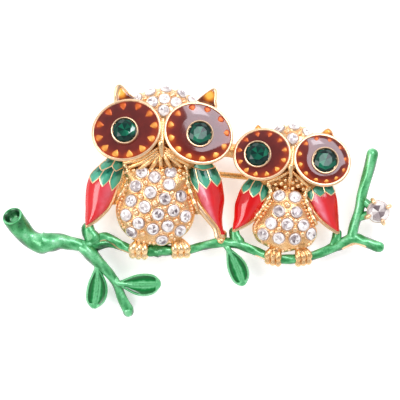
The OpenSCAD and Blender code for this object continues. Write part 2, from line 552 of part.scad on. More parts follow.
module big_wing_enamel_left() wing_enamel(BIG, LEFT);
module big_wing_enamel_right() wing_enamel(BIG, RIGHT);
module small_wing_enamel_left() wing_enamel(SMALL, LEFT);
module small_wing_enamel_right() wing_enamel(SMALL, RIGHT);

// Ears

ear_h = [2.2, 1.9]; // height of an ear's face over the back
ear_rim = [0.3, 0.16];
module ear_prism(o, side, inset, low, high) {
    pts = [for (p = EARS[o]) [face_x[o] + side * p[0] * eye_gap[o], eye_y[o] + p[1] * eye_gap[o]]];
    eye = eye_mid(o, side);
    translate([0, 0, low]) linear_extrude(high - low) difference() {
        offset(delta = -inset) polygon(pts);
        // the enamel and its bed stop at the eye
        if (inset > 0) translate([eye[0], eye[1]]) rotate(-side * eye_turn[o])
            scale([1, eye_ratio[o]]) circle(eye_d[o] / 2 + rim_w + 2 * gap + inset - ear_rim[o], $fn = 48);
    }
}
module ear_enamel(o, side) color("orange") place(o)
    ear_prism(o, side, ear_rim[o], back_z + ear_h[o] - enamel_t + gap, back_z + ear_h[o] - 0.05);
module big_ear_enamel_left() ear_enamel(BIG, LEFT);
module big_ear_enamel_right() ear_enamel(BIG, RIGHT);
module small_ear_enamel_left() ear_enamel(SMALL, LEFT);
module small_ear_enamel_right() ear_enamel(SMALL, RIGHT);

// Owls

toe_r = [0.52, 0.45];
// Three toes over the limb, and the leg behind them, in the brooch's axes
module foot(o, side) {
    at = world(o, [side * foot_x[o], 0])[0];
    hip = world(o, [side * foot_x[o] * 0.8, limb_r + 2.2]);
    r = toe_r[o];
    ankle = [at, limb_y(at) + limb_r + 0.75, limb_z(at) + 0.35];
    for (k = [-1:1]) let (x = at + k * r * 1.75, y = limb_y(x), z = limb_z(x))
        bar([[ankle[0] + k * r * 1.2, ankle[1], ankle[2], r * 1.1],
            [x, y + 0.35, z + limb_r + r * 0.4, r * 1.1],
            [x, y - limb_r - r * 0.2, z + 0.25, r * 0.85]], 5, 0, [false, true]);
    chain([[hip[0], hip[1], back_z + 1.5, 1.1], [ankle[0], ankle[1], ankle[2], 0.85]]);
}

shoulder_share = 0.6;      // height of the shoulders as a share of the eye rims'
// The beak's ridge and the feathers that spread from it over the collar
collar_w = [0.38, 0.32];   // half the collar's width as a share of the distance between the eyes
module face(o) {
    e = eye_gap[o];
    top = back_z + eye_h[o];
    x = face_x[o];
    chain([[x, eye_y[o] + 0.16 * e, top - 0.25, 0.03 * e], [x, eye_y[o] - 0.1 * e, top + 0.3, 0.042 * e],
        [x, eye_y[o] - 0.31 * e, top - 0.1, 0.03 * e]]);
    // the feathers start in the beak's underside
    for (a = [-60:24:60]) bar([[x + 0.04 * e * sin(a), eye_y[o] - 0.24 * e, top - 0.5, 0.035 * e],
        [mix(x, chest_x[o], 0.5) + collar_w[o] * e * sin(a), eye_y[o] - (0.2 + 0.25 * cos(a)) * e,
            back_z + eye_h[o] * 0.62, 0.05 * e]], 5);
}

// A bar across the back that carries the wings and the neck
module shoulders(o) {
    e = eye_gap[o];
    hull() for (p = [[-0.6, -0.27], [0.6, -0.27], [-0.4, -0.5], [0.36, -0.5]])
        translate([face_x[o] + p[0] * e, eye_y[o] + p[1] * e, back_z])
            cylinder(h = eye_h[o] * shoulder_share, r = 0.08 * e, $fn = 8);
}

module owl(o) {
    difference() {
        union() {
            place(o) {
                difference() {
                    union() {
                        dome(chest(o));
                        dome(crown(o));
                        shoulders(o);
                        for (side = [LEFT, RIGHT]) {
                            wing(o, side);
                            web(o, side);
                        }
                    }
                    chest_spots(o) stone_seat(chest_stone_d);
                    crown_spots(o) stone_seat(crown_stone_d);
                    for (side = [LEFT, RIGHT]) wing_cuts(o, side);
                }
                for (side = [LEFT, RIGHT]) difference() {
                    ear_prism(o, side, 0, back_z, back_z + ear_h[o]);
                    ear_prism(o, side, ear_rim[o] - gap, back_z + ear_h[o] - enamel_t, back_z + ear_h[o] + 1);
                }
                for (side = [LEFT, RIGHT]) eye_cup(o, side);
                face(o);
            }
            for (side = [LEFT, RIGHT]) foot(o, side);
            children();
        }
        perch(gap);
    }
}

module big_owl() color("gold") owl(BIG) {
    bridge();
    wing_foot();
}
module small_owl() color("gold") owl(SMALL);

// The bar between the two faces
module bridge() difference() {
    a = world(BIG, eye_mid(BIG, RIGHT) + [0.40 * eye_d[BIG], -0.22 * eye_d[BIG], 0]);
    b = world(SMALL, eye_mid(SMALL, LEFT) - [0.42 * eye_d[SMALL], 0, 0]);
    chain([[a[0], a[1], back_z + 1.4, 1.3], [b[0], b[1], back_z + 1.4, 1.3]]);
    place(SMALL) eye_drum(SMALL, LEFT, gap);
}

// The big owl's right wing runs on down to the limb
module wing_foot() {
    tip = world(BIG, wing_tip(BIG, RIGHT));
    x = tip[0] - 0.3;
    chain([[tip[0], tip[1] + 0.6, back_z + 0.75, 0.7], [x, limb_y(x) + 0.3, back_z + 0.8, 0.9]]);
}

module chest_stones(o) color("lightgray") place(o) chest_spots(o) cut_stone(chest_stone_d);
module crown_stones(o) color("lightgray") place(o) crown_spots(o) cut_stone(crown_stone_d);
module big_chest_stones() chest_stones(BIG);
module small_chest_stones() chest_stones(SMALL);
module big_crown_stones() crown_stones(BIG);
module small_crown_stones() crown_stones(SMALL);

// The stone on the right twig

twig_z = back_z + 2;        // height of its girdle
twig_at = 0.31;             // share of the tall twig's length where it stands off
function twig_spot(t) = let (p = along(TALL_TWIG, t)) [p[0], p[1]] * branch_l;
twig_stone_off = 0.58;     // from the twig to the stone's edge
function stone_spot() = twig_spot(twig_at) + [limb_r + twig_stone_d / 2 + twig_stone_off, 0.1];
prong_r = 0.38;
basket_r = twig_stone_d * 0.36;

module twig_arms() for (t = [0.24, 0.45]) {
    p = twig_spot(t);
    q = stone_spot();
    m = mix(p, q, 0.5);
    chain([[p[0], p[1], back_z + limb_r, 0.6], [m[0], m[1], back_z + 0.8, 0.7]]);
}
// Room in the arms for the setting and its prongs
module twig_seat() translate([stone_spot()[0], stone_spot()[1], back_z]) {
    translate([0, 0, -1]) cylinder(h = 2, r = basket_r + gap, $fn = 24);
    translate([0, 0, 0.4])
        cylinder(h = 1.6, r1 = basket_r + gap, r2 = twig_stone_d / 2 + 2.6 * prong_r, $fn = 24);
}

module twig_setting() color("gold") translate([stone_spot()[0], stone_spot()[1], back_z]) {
    r = twig_stone_d / 2;
    girdle = twig_z - back_z;
    difference() {
        union() {
            cylinder(h = girdle - 0.6, r = basket_r, $fn = 24);
            translate([0, 0, girdle - 0.9]) cylinder(h = 0.75, r1 = basket_r, r2 = r * 1.04, $fn = 24);
            for (a = [25:90:300]) rotate(a) chain([[r * 0.6, 0, 0.7, prong_r],
                [r + prong_r * 0.8, 0, girdle - 0.2, prong_r], [r + prong_r * 0.7, 0, girdle + 0.35, prong_r],
                [r - 0.1, 0, girdle + 0.5, prong_r * 0.8]]);
        }
        translate([0, 0, girdle]) cut_stone(twig_stone_d + 2.2 * gap, 8);
    }
}
module twig_stone() color("lightgray")
    translate([stone_spot()[0], stone_spot()[1], twig_z]) cut_stone(twig_stone_d, 8);

// Pin

pin_low = 0.9;             // its room over the table
pin_z = pin_d / 2 + pin_low;
pin_past = 0.3;            // how far its full thickness runs on past the catch
pin_point_l = 1.1;
pin_turn = -5.6;           // its slope, down to the right
hook_gap = 0.2;            // between the pin and its catch
hinge_d = 2.6;             // depth of the hinge block across the pin
hinge_at = [-9.5, 5.5];

module pin_back() color("goldenrod") translate([hinge_at[0], hinge_at[1], 0]) rotate(pin_turn) {
    translate([-hinge_w / 2, -hinge_d / 2, 0]) cube([hinge_w, hinge_d, back_z - gap]);
    end = pin_l + catch_w / 2 + pin_past;
    point = pin_l + pin_tip_l - pin_point_l;
    translate([0, 0, pin_z]) rotate([0, 90, 0]) cylinder(h = end, r = pin_d / 2);
    translate([end - pin_past, 0, pin_z]) rotate([0, 90, 0])
        cylinder(h = point - end + pin_past, r = pin_tip_d / 2);
    translate([point, 0, pin_z]) rotate([0, 90, 0]) cylinder(h = pin_point_l, r1 = pin_tip_d / 2, r2 = 0.08);
    translate([pin_l - catch_w / 2, 0, 0]) catch();
}

// The catch: a hook that the pin lies in, open on its upper side, and its foot under the casting
module catch() {
    hook_r = pin_z;
    translate([0, 0, pin_z]) rotate([90, 0, 90]) rotate([0, 0, 180]) linear_extrude(catch_w) difference() {
        circle(hook_r);
        circle(pin_d / 2 + hook_gap);
        translate([0, -hook_r]) square([hook_r, hook_r]);
    }
    translate([0, -hook_r, 0]) cube([catch_w, hook_r * 0.5, back_z - gap]);
    translate([0, -pin_d / 4, 0.3]) cube([catch_w, pin_d / 2, pin_z - 0.3]);
}

branch();
leaf_enamel_low();
leaf_enamel_side();
leaf_enamel_mid();
big_owl();
big_eye_enamel_left();
big_eye_enamel_right();
big_eye_stone_left();
big_eye_stone_right();
big_ear_enamel_left();
big_ear_enamel_right();
big_feather_enamel_left();
big_feather_enamel_right();
big_wing_enamel_left();
big_wing_enamel_right();
big_chest_stones();
big_crown_stones();
small_owl();
small_eye_enamel_left();
small_eye_enamel_right();
small_eye_stone_left();
small_eye_stone_right();
small_ear_enamel_left();
small_ear_enamel_right();
small_feather_enamel_left();
small_feather_enamel_right();
small_wing_enamel_left();
small_wing_enamel_right();
small_chest_stones();
small_crown_stones();
twig_setting();
twig_stone();
pin_back();
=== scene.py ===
# Looks for the brooch of two owls on a branch. Lengths are in millimetres until makePiece makes them metres.
# X runs along the branch, Y up the owls and Z out of their fronts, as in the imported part.
import math

import bpy
import numpy as np
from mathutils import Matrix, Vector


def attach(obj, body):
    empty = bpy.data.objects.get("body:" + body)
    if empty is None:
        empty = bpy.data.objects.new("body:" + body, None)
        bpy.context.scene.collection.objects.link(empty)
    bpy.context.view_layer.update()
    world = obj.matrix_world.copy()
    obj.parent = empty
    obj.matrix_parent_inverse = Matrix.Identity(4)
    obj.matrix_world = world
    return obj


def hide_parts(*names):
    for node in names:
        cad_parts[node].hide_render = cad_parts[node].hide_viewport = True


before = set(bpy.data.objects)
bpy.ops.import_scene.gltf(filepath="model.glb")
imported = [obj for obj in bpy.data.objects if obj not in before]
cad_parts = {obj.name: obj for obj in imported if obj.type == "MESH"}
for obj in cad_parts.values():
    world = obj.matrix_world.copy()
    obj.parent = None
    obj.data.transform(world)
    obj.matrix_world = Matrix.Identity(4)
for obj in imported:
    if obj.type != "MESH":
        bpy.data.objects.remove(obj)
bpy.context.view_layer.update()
print("frame loaded:", len(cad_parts), "nodes")

backZ = 3.2             # height of the flat backs over the table
creaseAngle = 38        # edges sharper than this are shaded as edges
left, right = -1, 1
bothSides = ((left, "left"), (right, "right"))


# small maths

# a where t is 0, b where t is 1
def mix(a, b, t):
    return a + (b - a) * t


# 0 below lo, 1 above hi, 3 x^2 - 2 x^3 between
def step(x, lo, hi):
    x = np.clip((x - lo) / (hi - lo), 0, 1)
    return x * x * (3 - 2 * x)


# 1 where x is at, falling as exp(-((x - at) / wide)^2)
def bell(x, at, wide):
    return np.exp(-((x - at) / wide) ** 2)


# Each vector over its own length
def unit(v):
    return v / np.linalg.norm(v, axis=-1, keepdims=True)


# n steps once round
def circle(n):
    return np.linspace(0, 2 * np.pi, n, endpoint=False)


# Three values or arrays side by side, as points or as marks
def trio(x, y, z):
    return np.stack(np.broadcast_arrays(x, y, z), -1)


# A profile spun about Z: (size cos a, size sin a, height)
def spun(size, height, n):
    a = circle(n)[None]
    return trio(size * np.cos(a), size * np.sin(a), height)


# Points of a plan lifted to their heights
def raised(xy, z):
    return trio(xy[..., 0], xy[..., 1], z)


# A curve through a table's rows: (2b + (c-a)t + (2a-5b+4c-d)t^2 + (3b-a-3c+d)t^3) / 2 between b and c
def along(table, t):
    table = np.asarray(table, float)
    n = len(table) - 1
    x = np.clip(t, 0, 0.99999) * n
    i = np.floor(x).astype(int)
    f = (x - i)[..., None]
    a, b, c, d = (table[np.clip(i + k, 0, n)] for k in (-1, 0, 1, 2))
    return 0.5 * (2 * b + (c - a) * f + (2 * a - 5 * b + 4 * c - d) * f**2 + (3 * b - a - 3 * c + d) * f**3)


# n steps along a table's curve
def curve(table, n):
    return along(table, np.linspace(0, 1, n))


# Turned about the origin: (x cos a - y sin a, x sin a + y cos a)
def turned(p, degrees):
    a = math.radians(degrees)
    x, y = p[..., 0], p[..., 1]
    return np.stack([x * math.cos(a) - y * math.sin(a), x * math.sin(a) + y * math.cos(a)], -1)


# meshes

# Gathers closed surfaces into one mesh. A surface is a grid of rings, capped at both ends or looped
class Casting:
    def __init__(self):
        self.points, self.quads, self.triangles, self.marks, self.total = [], [], [], [], 0

    # Quads between neighbours of the grid, and a fan of triangles over each open end, round its middle
    def add(self, grid, mark=(0, 0, 0), looped=False):
        grid = np.asarray(grid, float)
        m, n = grid.shape[:2]
        mark = np.broadcast_to(np.asarray(mark, float), (m, n, 3))
        index = np.arange(m * n).reshape(m, n)
        a, b = (index, np.roll(index, -1, 0)) if looped else (index[:-1], index[1:])
        quads = np.stack([a, np.roll(a, -1, 1), np.roll(b, -1, 1), b], -1).reshape(-1, 4)
        points, marks = grid.reshape(-1, 3), mark.reshape(-1, 3)
        triangles = np.zeros((0, 3), int)
        if not looped:
            points = np.vstack([points, grid[0].mean(0), grid[-1].mean(0)])
            marks = np.vstack([marks, mark[0].mean(0), mark[-1].mean(0)])
            first, last = index[0], index[-1]
            triangles = np.vstack([
                np.stack([np.full(n, m * n), np.roll(first, -1), first], -1),
                np.stack([np.full(n, m * n + 1), last, np.roll(last, -1)], -1)])
        p = points[np.vstack([quads[:, :3], quads[:, [0, 2, 3]], triangles])]
        if np.einsum("ij,ij->i", np.cross(p[:, 0], p[:, 1]), p[:, 2]).sum() < 0:  # faces point outwards
            quads, triangles = quads[:, ::-1], triangles[:, ::-1]
        self.points.append(points)
        self.marks.append(marks)
        self.quads.append(quads + self.total)
        self.triangles.append(triangles + self.total)
        self.total += len(points)
        return self


# Makes the object: the gathered surfaces in metres and their marks as a vertex attribute. Each face of a cut
# stone gets a painted shade of its own, a painted reflection, from the seed given
def makePiece(name, casting, finish, replaces=(), facets=None):
    faces = np.vstack(casting.quads).tolist() + np.vstack(casting.triangles).tolist()
    mesh = bpy.data.meshes.new(name)
    mesh.from_pydata((np.vstack(casting.points) * 0.001).tolist(), [], faces)
    mark = mesh.attributes.new("mark", "FLOAT_VECTOR", "POINT")
    mark.data.foreach_set("vector", np.vstack(casting.marks).astype(np.float32).ravel())
    if facets:
        count = len(mesh.polygons)
        shade = mesh.attributes.new("facet", "FLOAT", "FACE")
        shade.data.foreach_set("value", np.random.default_rng(facets).random(count).astype(np.float32))
        mesh.shade_flat()
    else:
        mesh.shade_smooth()
        mesh.set_sharp_from_angle(angle=math.radians(creaseAngle))
    mesh.materials.append(finish)
    piece = bpy.data.objects.new(name, mesh)
    bpy.context.scene.collection.objects.link(piece)
    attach(piece, "root")
    if replaces:
        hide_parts(*replaces)
    return piece


# A tube: centre + r (cos a side + flat sin a up), side = z x heading and up = heading x side, with domed ends
def tube(path, radius, sides=20, domed=True, flat=1.0):
    path = np.asarray(path, float)
    radius = np.broadcast_to(np.asarray(radius, float), len(path))
    head = unit(np.gradient(path, axis=0))
    if domed:
        q = np.radians([82, 62, 40, 20])
        path = np.vstack([path[0] - np.outer(radius[0] * np.sin(q), head[0]), path,
                          path[-1] + np.outer(radius[-1] * np.sin(q[::-1]), head[-1])])
        head = np.vstack([np.tile(head[0], (4, 1)), head, np.tile(head[-1], (4, 1))])
        radius = np.concatenate([radius[0] * np.cos(q), radius, radius[-1] * np.cos(q[::-1])])
    side = unit(np.cross([0, 0, 1], head) + 1e-9)
    return rings(path, radius, side, flat * np.cross(head, side), sides)


# A tube through a table's places and radii: X, Y, Z and r
def rod(table, steps, sides):
    rows = curve(table, steps)
    return tube(rows[:, :3], rows[:, 3], sides)


# Rings about a path: centre + r (cos a side + sin a up)
def rings(path, radius, side, up, sides):
    a = circle(sides)[None, :, None]
    return path[:, None] + radius[:, None, None] * (np.cos(a) * side[:, None] + np.sin(a) * up[:, None])


# A wire round a closed line, whose rings stand on the line's own inward and upward directions
def wire(line, radius, sides=8):
    head = unit(np.roll(line, -1, 0) - np.roll(line, 1, 0))
    side = unit(np.cross([0, 0, 1], head))
    return rings(line, np.full(len(line), radius), side, np.cross(head, side), sides)


# A ball squashed by three radii: r (cos b cos a, cos b sin a, sin b)
def ball(centre, radii, sides=12, rows=7):
    b = np.linspace(-np.pi / 2, np.pi / 2, rows + 2)[1:-1, None]
    return centre + spun(np.cos(b), np.sin(b), sides) * radii


# shader tools

# A colour given as red, green and blue to 255, made linear
def paint(*rgb):
    return tuple(((c / 255 + 0.055) / 1.055) ** 2.4 if c > 10 else c / 255 / 12.92 for c in rgb)


# A socket that adds Math nodes when it is reckoned with
class Value:
    def __init__(self, finish, socket):
        self.finish, self.socket = finish, socket

    # a and b put through one Math node
    def maths(self, operation, a, b):
        return self.finish.node("Math", {"operation": operation}, {0: a, 1: b})

    def __add__(self, other):
        return self.maths("ADD", self, other)

    def __mul__(self, other):
        return self.maths("MULTIPLY", self, other)

    def __sub__(self, other):
        return self.maths("SUBTRACT", self, other)

    def __rsub__(self, other):
        return self.maths("SUBTRACT", other, self)

    __radd__, __rmul__ = __add__, __mul__


# A material and the few kinds of node that it is made of
class Finish:
    def __init__(self, name):
        self.material = bpy.data.materials.new(name)
        self.material.use_nodes = True
        self.tree = self.material.node_tree
        self.tree.nodes.clear()

    # Any node, by its type, its settings and what feeds its inputs. It gives one of its outputs
    def node(self, kind, settings=None, inputs=None, output=0):
        made = self.tree.nodes.new("ShaderNode" + kind)
        for key, value in (settings or {}).items():
            if key == "stops":
                ramp = made.color_ramp
                for place, colour in value[1:-1]:
                    ramp.elements.new(place).color = (*colour, 1)
                for end, (place, colour) in ((0, value[0]), (-1, value[-1])):
                    ramp.elements[end].position = place
                    ramp.elements[end].color = (*colour, 1)
            else:
                setattr(made, key, value)
        for key, value in (inputs or {}).items():
            self.feed(made.inputs[key], value)
        return Value(self, made.outputs[output])

    # A link if the value is a socket, and a plain value otherwise
    def feed(self, socket, value):
        if isinstance(value, Value):
            self.tree.links.new(value.socket, socket)
        elif isinstance(value, tuple) and len(value) == 3 and socket.type == "RGBA":
            socket.default_value = (*value, 1)
        else:
            socket.default_value = value

    # Object coordinates in millimetres
    def place(self):
        where = self.node("TexCoord", output="Object")
        return self.node("VectorMath", {"operation": "SCALE"}, {0: where, "Scale": 1000})

    # One of the three numbers that a piece's points carry
    def mark(self, axis):
        vector = self.node("Attribute", {"attribute_name": "mark"}, output="Vector")
        return self.node("SeparateXYZ", None, {0: vector}, output=axis)

    # Noise of so many features to a millimetre
    def noise(self, scale, detail=2.0, rough=0.5):
        inputs = {"Vector": self.place(), "Scale": scale, "Detail": detail, "Roughness": rough}
        return self.node("TexNoise", None, inputs)

    # 0 below lo, 1 above hi, smooth between
    def between(self, value, lo, hi):
        inputs = {"Value": value, "From Min": lo, "From Max": hi}
        return self.node("MapRange", {"interpolation_type": "SMOOTHSTEP"}, inputs)

    # A roughness that wanders from least to least + more with a noise
    def rough(self, least, more, noise=None, lo=0.3, hi=0.8):
        return self.between(noise or self.noise(5), lo, hi) * more + least

    # Colours along a value: each stop is a place and a colour for paint
    def ramp(self, value, *stops):
        return self.node("ValToRGB", {"stops": [(place, paint(*rgb)) for place, rgb in stops]}, {0: value})

    # Colour a where share is 0, b where it is 1
    def blend(self, share, a, b):
        return self.node("Mix", {"data_type": "RGBA"}, {0: share, 6: a, 7: b}, output=2)

    # A normal tilted by a height of so many millimetres
    def bump(self, height, distance, strength=1.0):
        return self.node("Bump", None, {"Height": height, "Distance": distance * 0.001, "Strength": strength})

    # The material, with the shader's sockets fed by name
    def done(self, **sockets):
        shader = self.tree.nodes.new("ShaderNodeBsdfPrincipled")
        for key, value in sockets.items():
            self.feed(shader.inputs[key.replace("_", " ")], value)
        out = self.tree.nodes.new("ShaderNodeOutputMaterial")
        self.tree.links.new(shader.outputs[0], out.inputs[0])
        return self.material


# finishes

# Gold plate over a casting: mark x is polish, smoother and paler as a painted highlight; y is painted shade
def goldPlate(name, warm=(240, 180, 108), pale=(254, 218, 168), shadeColour=(162, 98, 48), rough=0.27):
    f = Finish(name)
    polishAndHighlight, paintedShade = f.mark("X"), f.mark("Y")
    cloud = f.between(f.noise(0.9, 3), 0.35, 0.65)
    grain = f.noise(5.0, 3, 0.6)
    # paler where polished: a painted highlight
    colour = f.blend(f.between(polishAndHighlight * 0.85 + cloud * 0.25, 0.1, 1.0), paint(*warm), paint(*pale))
    # painted shade: the deep colour where mark y is high, as in recesses and between parts
    colour = f.blend(f.between(paintedShade + grain * 0.3, 0.35, 1.15), colour, paint(*shadeColour))
    return f.done(Base_Color=colour, Metallic=1.0, Roughness=f.rough(rough - 0.06, 0.16, grain, 0.2, 0.9),
                  Normal=f.bump(grain * (1 - polishAndHighlight * 0.8), 0.10))


# Green lacquer over bright metal: mark x is 1 where worn to gold, y is painted shade, z painted highlight on
# ridges
def branchLacquer():
    f = Finish("branchLacquer")
    fine = f.noise(2.6, 3, 0.6)
    wear = f.between(f.mark("X") + fine * 0.5, 0.75, 1.0)
    # painted light: lighter where it faces up and on its ridges, darker with the painted shade of mark y
    light = (1 - f.mark("Y")) * 0.56 + f.mark("Z") * 0.36 + f.between(fine, 0.3, 0.7) * 0.08
    green = f.ramp(light, (0.0, (2, 44, 22)), (0.25, (12, 84, 40)), (0.5, (46, 148, 78)),
                   (0.75, (104, 202, 134)), (1.0, (180, 242, 198)))
    return f.done(Base_Color=f.blend(wear, green, paint(238, 196, 150)), Metallic=wear * 0.6 + 0.25,
                  Roughness=f.rough(0.26, 0.08, fine, hi=0.7), Coat_Weight=0.6, Coat_Roughness=0.08,
                  Normal=f.bump(fine, 0.06, 0.5))


# Green enamel of the leaves: palest where mark x is 1, beside the vein, as a painted highlight
def leafEnamel():
    f = Finish("leafEnamel")
    amount = f.between(f.mark("X") + f.noise(1.6, 2) * 0.5 - 0.25, 0.0, 1.0)
    colour = f.ramp(amount, (0.0, (2, 88, 34)), (0.5, (10, 128, 56)), (1.0, (124, 212, 150)))
    return f.done(Base_Color=colour, Roughness=f.rough(0.1, 0.08), Specular_IOR_Level=0.6)


# Brown glassy enamel: mark x runs from the stone (0) to the rim (1), y is the seeds' glow, z the height in it
def eyeEnamel():
    f = Finish("eyeEnamel")
    warmth = f.mark("X") * 0.3 + f.noise(0.7, 3, 0.5) * 0.5 + f.mark("Y") * 0.5 - f.mark("Z") * 0.2
    warmth = f.between(warmth, 0.1, 1.0)
    colour = f.ramp(warmth, (0.0, (84, 24, 22)), (0.5, (118, 36, 28)), (1.0, (176, 66, 22)))
    return f.done(Base_Color=colour, Roughness=f.rough(0.05, 0.03, f.noise(6)), Specular_IOR_Level=0.74)


# Gold seeds under the enamel: mark x, 0 at the foot and 1 on top, paints a highlight on top; y is how high
# the seed is
def eyeSeed():
    f = Finish("eyeSeed")
    top = f.mark("X") + f.noise(4) * 0.3 - 0.15
    bright = f.ramp(top, (0.0, (140, 48, 10)), (0.4, (214, 112, 28)), (1.0, (246, 182, 84)))
    dark = f.ramp(top, (0.0, (96, 22, 6)), (0.5, (176, 62, 14)), (1.0, (214, 104, 34)))
    return f.done(Base_Color=f.blend(f.between(f.mark("Y"), -0.9, 0.9), bright, dark), Metallic=0.35,
                  Roughness=f.rough(0.3, 0.1, f.noise(7), hi=0.7))


# A cut stone of painted reflections: each facet has a painted shade of its own. Mark x lightens, y is how far
# out
def cutStone(name, stops, edge, shine, crown):
    f = Finish(name)
    facet = f.node("Attribute", {"attribute_name": "facet"}, output="Fac")
    far, cloud = f.mark("Y"), f.noise(2.2, 2)
    shade = facet * 0.7 + f.mark("X") * 0.25 + f.between(far, 0.585, 0.6) * crown + cloud * 0.2
    # the crown's shifted facets and the dark edge at the girdle are painted reflections too
    colour = f.blend(f.between(far, 0.93, 1.0) * 0.8, f.ramp(shade - 0.12, *stops), paint(*edge))
    return f.done(Base_Color=colour, Roughness=f.rough(0.03, 0.04, cloud, 0.2), Specular_IOR_Level=shine)


# Amber enamel: brightest where mark x is 1, dark brown at 0
def earEnamel():
    f = Finish("earEnamel")
    shade = f.between(f.mark("X") + f.noise(1.4, 2) * 0.3, 0.2, 1.0)
    colour = f.ramp(shade, (0.0, (96, 34, 8)), (0.35, (176, 88, 18)), (0.7, (226, 150, 44)),
                    (1.0, (250, 196, 84)))
    return f.done(Base_Color=colour, Roughness=f.rough(0.14, 0.1), Coat_Weight=1.0, Coat_Roughness=0.05)


# Blue-green enamel: mark x runs down each feather, from dark to light
def featherEnamel():
    f = Finish("featherEnamel")
    shade = f.between(f.mark("X") * 0.7 + f.noise(1.2, 3) * 0.6, 0.2, 1.0)
    colour = f.ramp(shade, (0.0, (0, 82, 62)), (0.5, (12, 124, 96)), (1.0, (84, 176, 144)))
    return f.done(Base_Color=colour, Roughness=f.rough(0.1, 0.06), Specular_IOR_Level=0.6)


# Red enamel: mark x runs down the wing, z is a painted sheen, a pale pink painted reflection
def wingEnamel():
    f = Finish("wingEnamel")
    shade = f.between(f.noise(0.3, 2) + f.mark("X") * 0.2, 0.3, 0.9)
    colour = f.ramp(shade, (0.0, (198, 4, 10)), (0.5, (218, 8, 14)), (1.0, (228, 16, 20)))
    sheen = f.mark("Z") * (f.between(f.noise(0.8, 2), 0.3, 0.6) * 0.4 + 0.6)
    return f.done(Base_Color=f.blend(sheen, colour, paint(244, 150, 170)), Roughness=f.rough(0.1, 0.06),
                  Specular_IOR_Level=0.8)


# The stones' painted reflections, from the darkest facet to the brightest
clearStops = [(0.0, (90, 76, 80)), (0.2, (146, 132, 134)), (0.42, (204, 193, 190)), (0.66, (243, 237, 232)),
              (1.0, (255, 255, 255))]
greenStops = [(0.0, (2, 28, 28)), (0.3, (0, 54, 44)), (0.6, (6, 92, 68)), (0.85, (24, 128, 92)),
              (1.0, (196, 220, 212))]
finishes = {
    "gold": goldPlate("goldPlate"),
    "rim": goldPlate("rimGold", warm=(246, 194, 134), pale=(254, 216, 174), rough=0.32),
    "pin": goldPlate("pinMetal", warm=(200, 142, 78), pale=(232, 186, 124), rough=0.26),
    "lacquer": branchLacquer(),
    "leaf": leafEnamel(),
    "eye": eyeEnamel(),
    "seed": eyeSeed(),
    "ear": earEnamel(),
    "feather": featherEnamel(),
    "wing": wingEnamel(),
    "clear": cutStone("clearStone", clearStops, (206, 176, 158), 0.6, 0.16),
    "green": cutStone("greenStone", greenStops, (4, 40, 30), 0.42, -0.1),
}
print("finishes made:", len(finishes))

# branch

branch = {
    "length": 62.2, "stump": 3.2, "limb": 0.75,
    # X and Y as shares of the length, radius as a share of the limb's, sink as a share of backZ
    "limbRows": [[-0.292, -0.120, 1.25], [-0.268, -0.102, 1.05], [-0.243, -0.094, 1],
        [-0.218, -0.104, 0.98], [-0.192, -0.120, 1], [-0.158, -0.130, 1.02], [-0.110, -0.130, 1],
        [-0.060, -0.129, 1.02], [-0.018, -0.126, 0.98], [0.020, -0.115, 1], [0.056, -0.109, 1.06],
        [0.100, -0.112, 1], [0.140, -0.128, 1], [0.185, -0.146, 1.02], [0.230, -0.152, 1],
        [0.272, -0.148, 1], [0.320, -0.134, 0.98], [0.362, -0.116, 1], [0.398, -0.100, 1.08],
        [0.430, -0.107, 1], [0.466, -0.120, 1.02]],
    "stumpRows": [[-0.479, -0.040, 0.46, -0.48], [-0.462, -0.068, 0.49, -0.14], [-0.436, -0.096, 0.47, 0],
        [-0.410, -0.109, 0.50, 0], [-0.386, -0.109, 0.52, 0], [-0.358, -0.105, 0.41, 0],
        [-0.331, -0.110, 0.34, 0], [-0.304, -0.116, 0.31, 0], [-0.288, -0.121, 0.28, 0]],
    "lowTwig": [[-0.300, -0.118, 1.20, 0], [-0.281, -0.134, 1.40, 0.05], [-0.258, -0.160, 1.20, 0.15],
        [-0.238, -0.182, 1.02, 0.30], [-0.214, -0.215, 0.86, 0.55], [-0.200, -0.250, 0.94, 0.80],
        [-0.186, -0.280, 1.06, 1], [-0.183, -0.289, 1.06, 1]],
    "tallTwig": [[0.396, -0.098, 1], [0.403, -0.063, 0.96], [0.415, -0.025, 0.96], [0.422, 0.014, 1],
        [0.433, 0.053, 1.04], [0.443, 0.091, 1.10], [0.449, 0.120, 1.12]],
    # a tube under the limb over the fork, painted in shade: X, Y, Z and radius
    "under": [[-18.8, -7.2, 3.7, 0.6], [-16.8, -7.3, 3.7, 0.9], [-14.6, -6.9, 3.7, 0.7],
              [-12.6, -7.45, 3.6, 0.6], [-11.0, -8.1, 3.6, 0.4]],
    "twigs": {"lowTwig": (4, 1.12, 0.045), "tallTwig": (3, 1.14, 0.025)},  # turns of the ridges, size, ripple
    "ripple": 0.06, "stumpRipple": 0.025,          # height of the ridges, as a share of the radius
    "worn": [(-17.5, -10.0), (8.5, 13.5), (22.5, 27.5)],
    # between the big owl's feet: thicker, and darker with painted shade, round one spot, each by how much and
    # how far
    "hollow": {"x": -6.6, "swell": 0.38, "swellWide": 1.5, "dark": 0.22, "darkWide": 1.6},
    "rightSwell": (0.18, 18, 23),                  # thicker to the right: how much, and from where to where
    "folds": [(-25.0, 0.09), (-24.1, -0.07)], "foldWide": 0.5,
    # the stump's hollow, from its floor over the lip: way out of the mouth, share of its radius, painted
    # shade
    "mouth": [[-1.25, 0.05, 0.1], [-1.2, 0.45, 0.2], [-1.05, 0.62, 0.9], [-0.6, 0.68, 1], [-0.1, 0.73, 1],
              [0.08, 0.80, 0.8], [0.12, 0.88, 0.3], [0.05, 0.97, 0.1]],
    "mouthTurn": 0.55, "mouthFlare": 0.12,
    "arms": (0.24, 0.45),                          # where the setting's two arms leave the tall twig
}


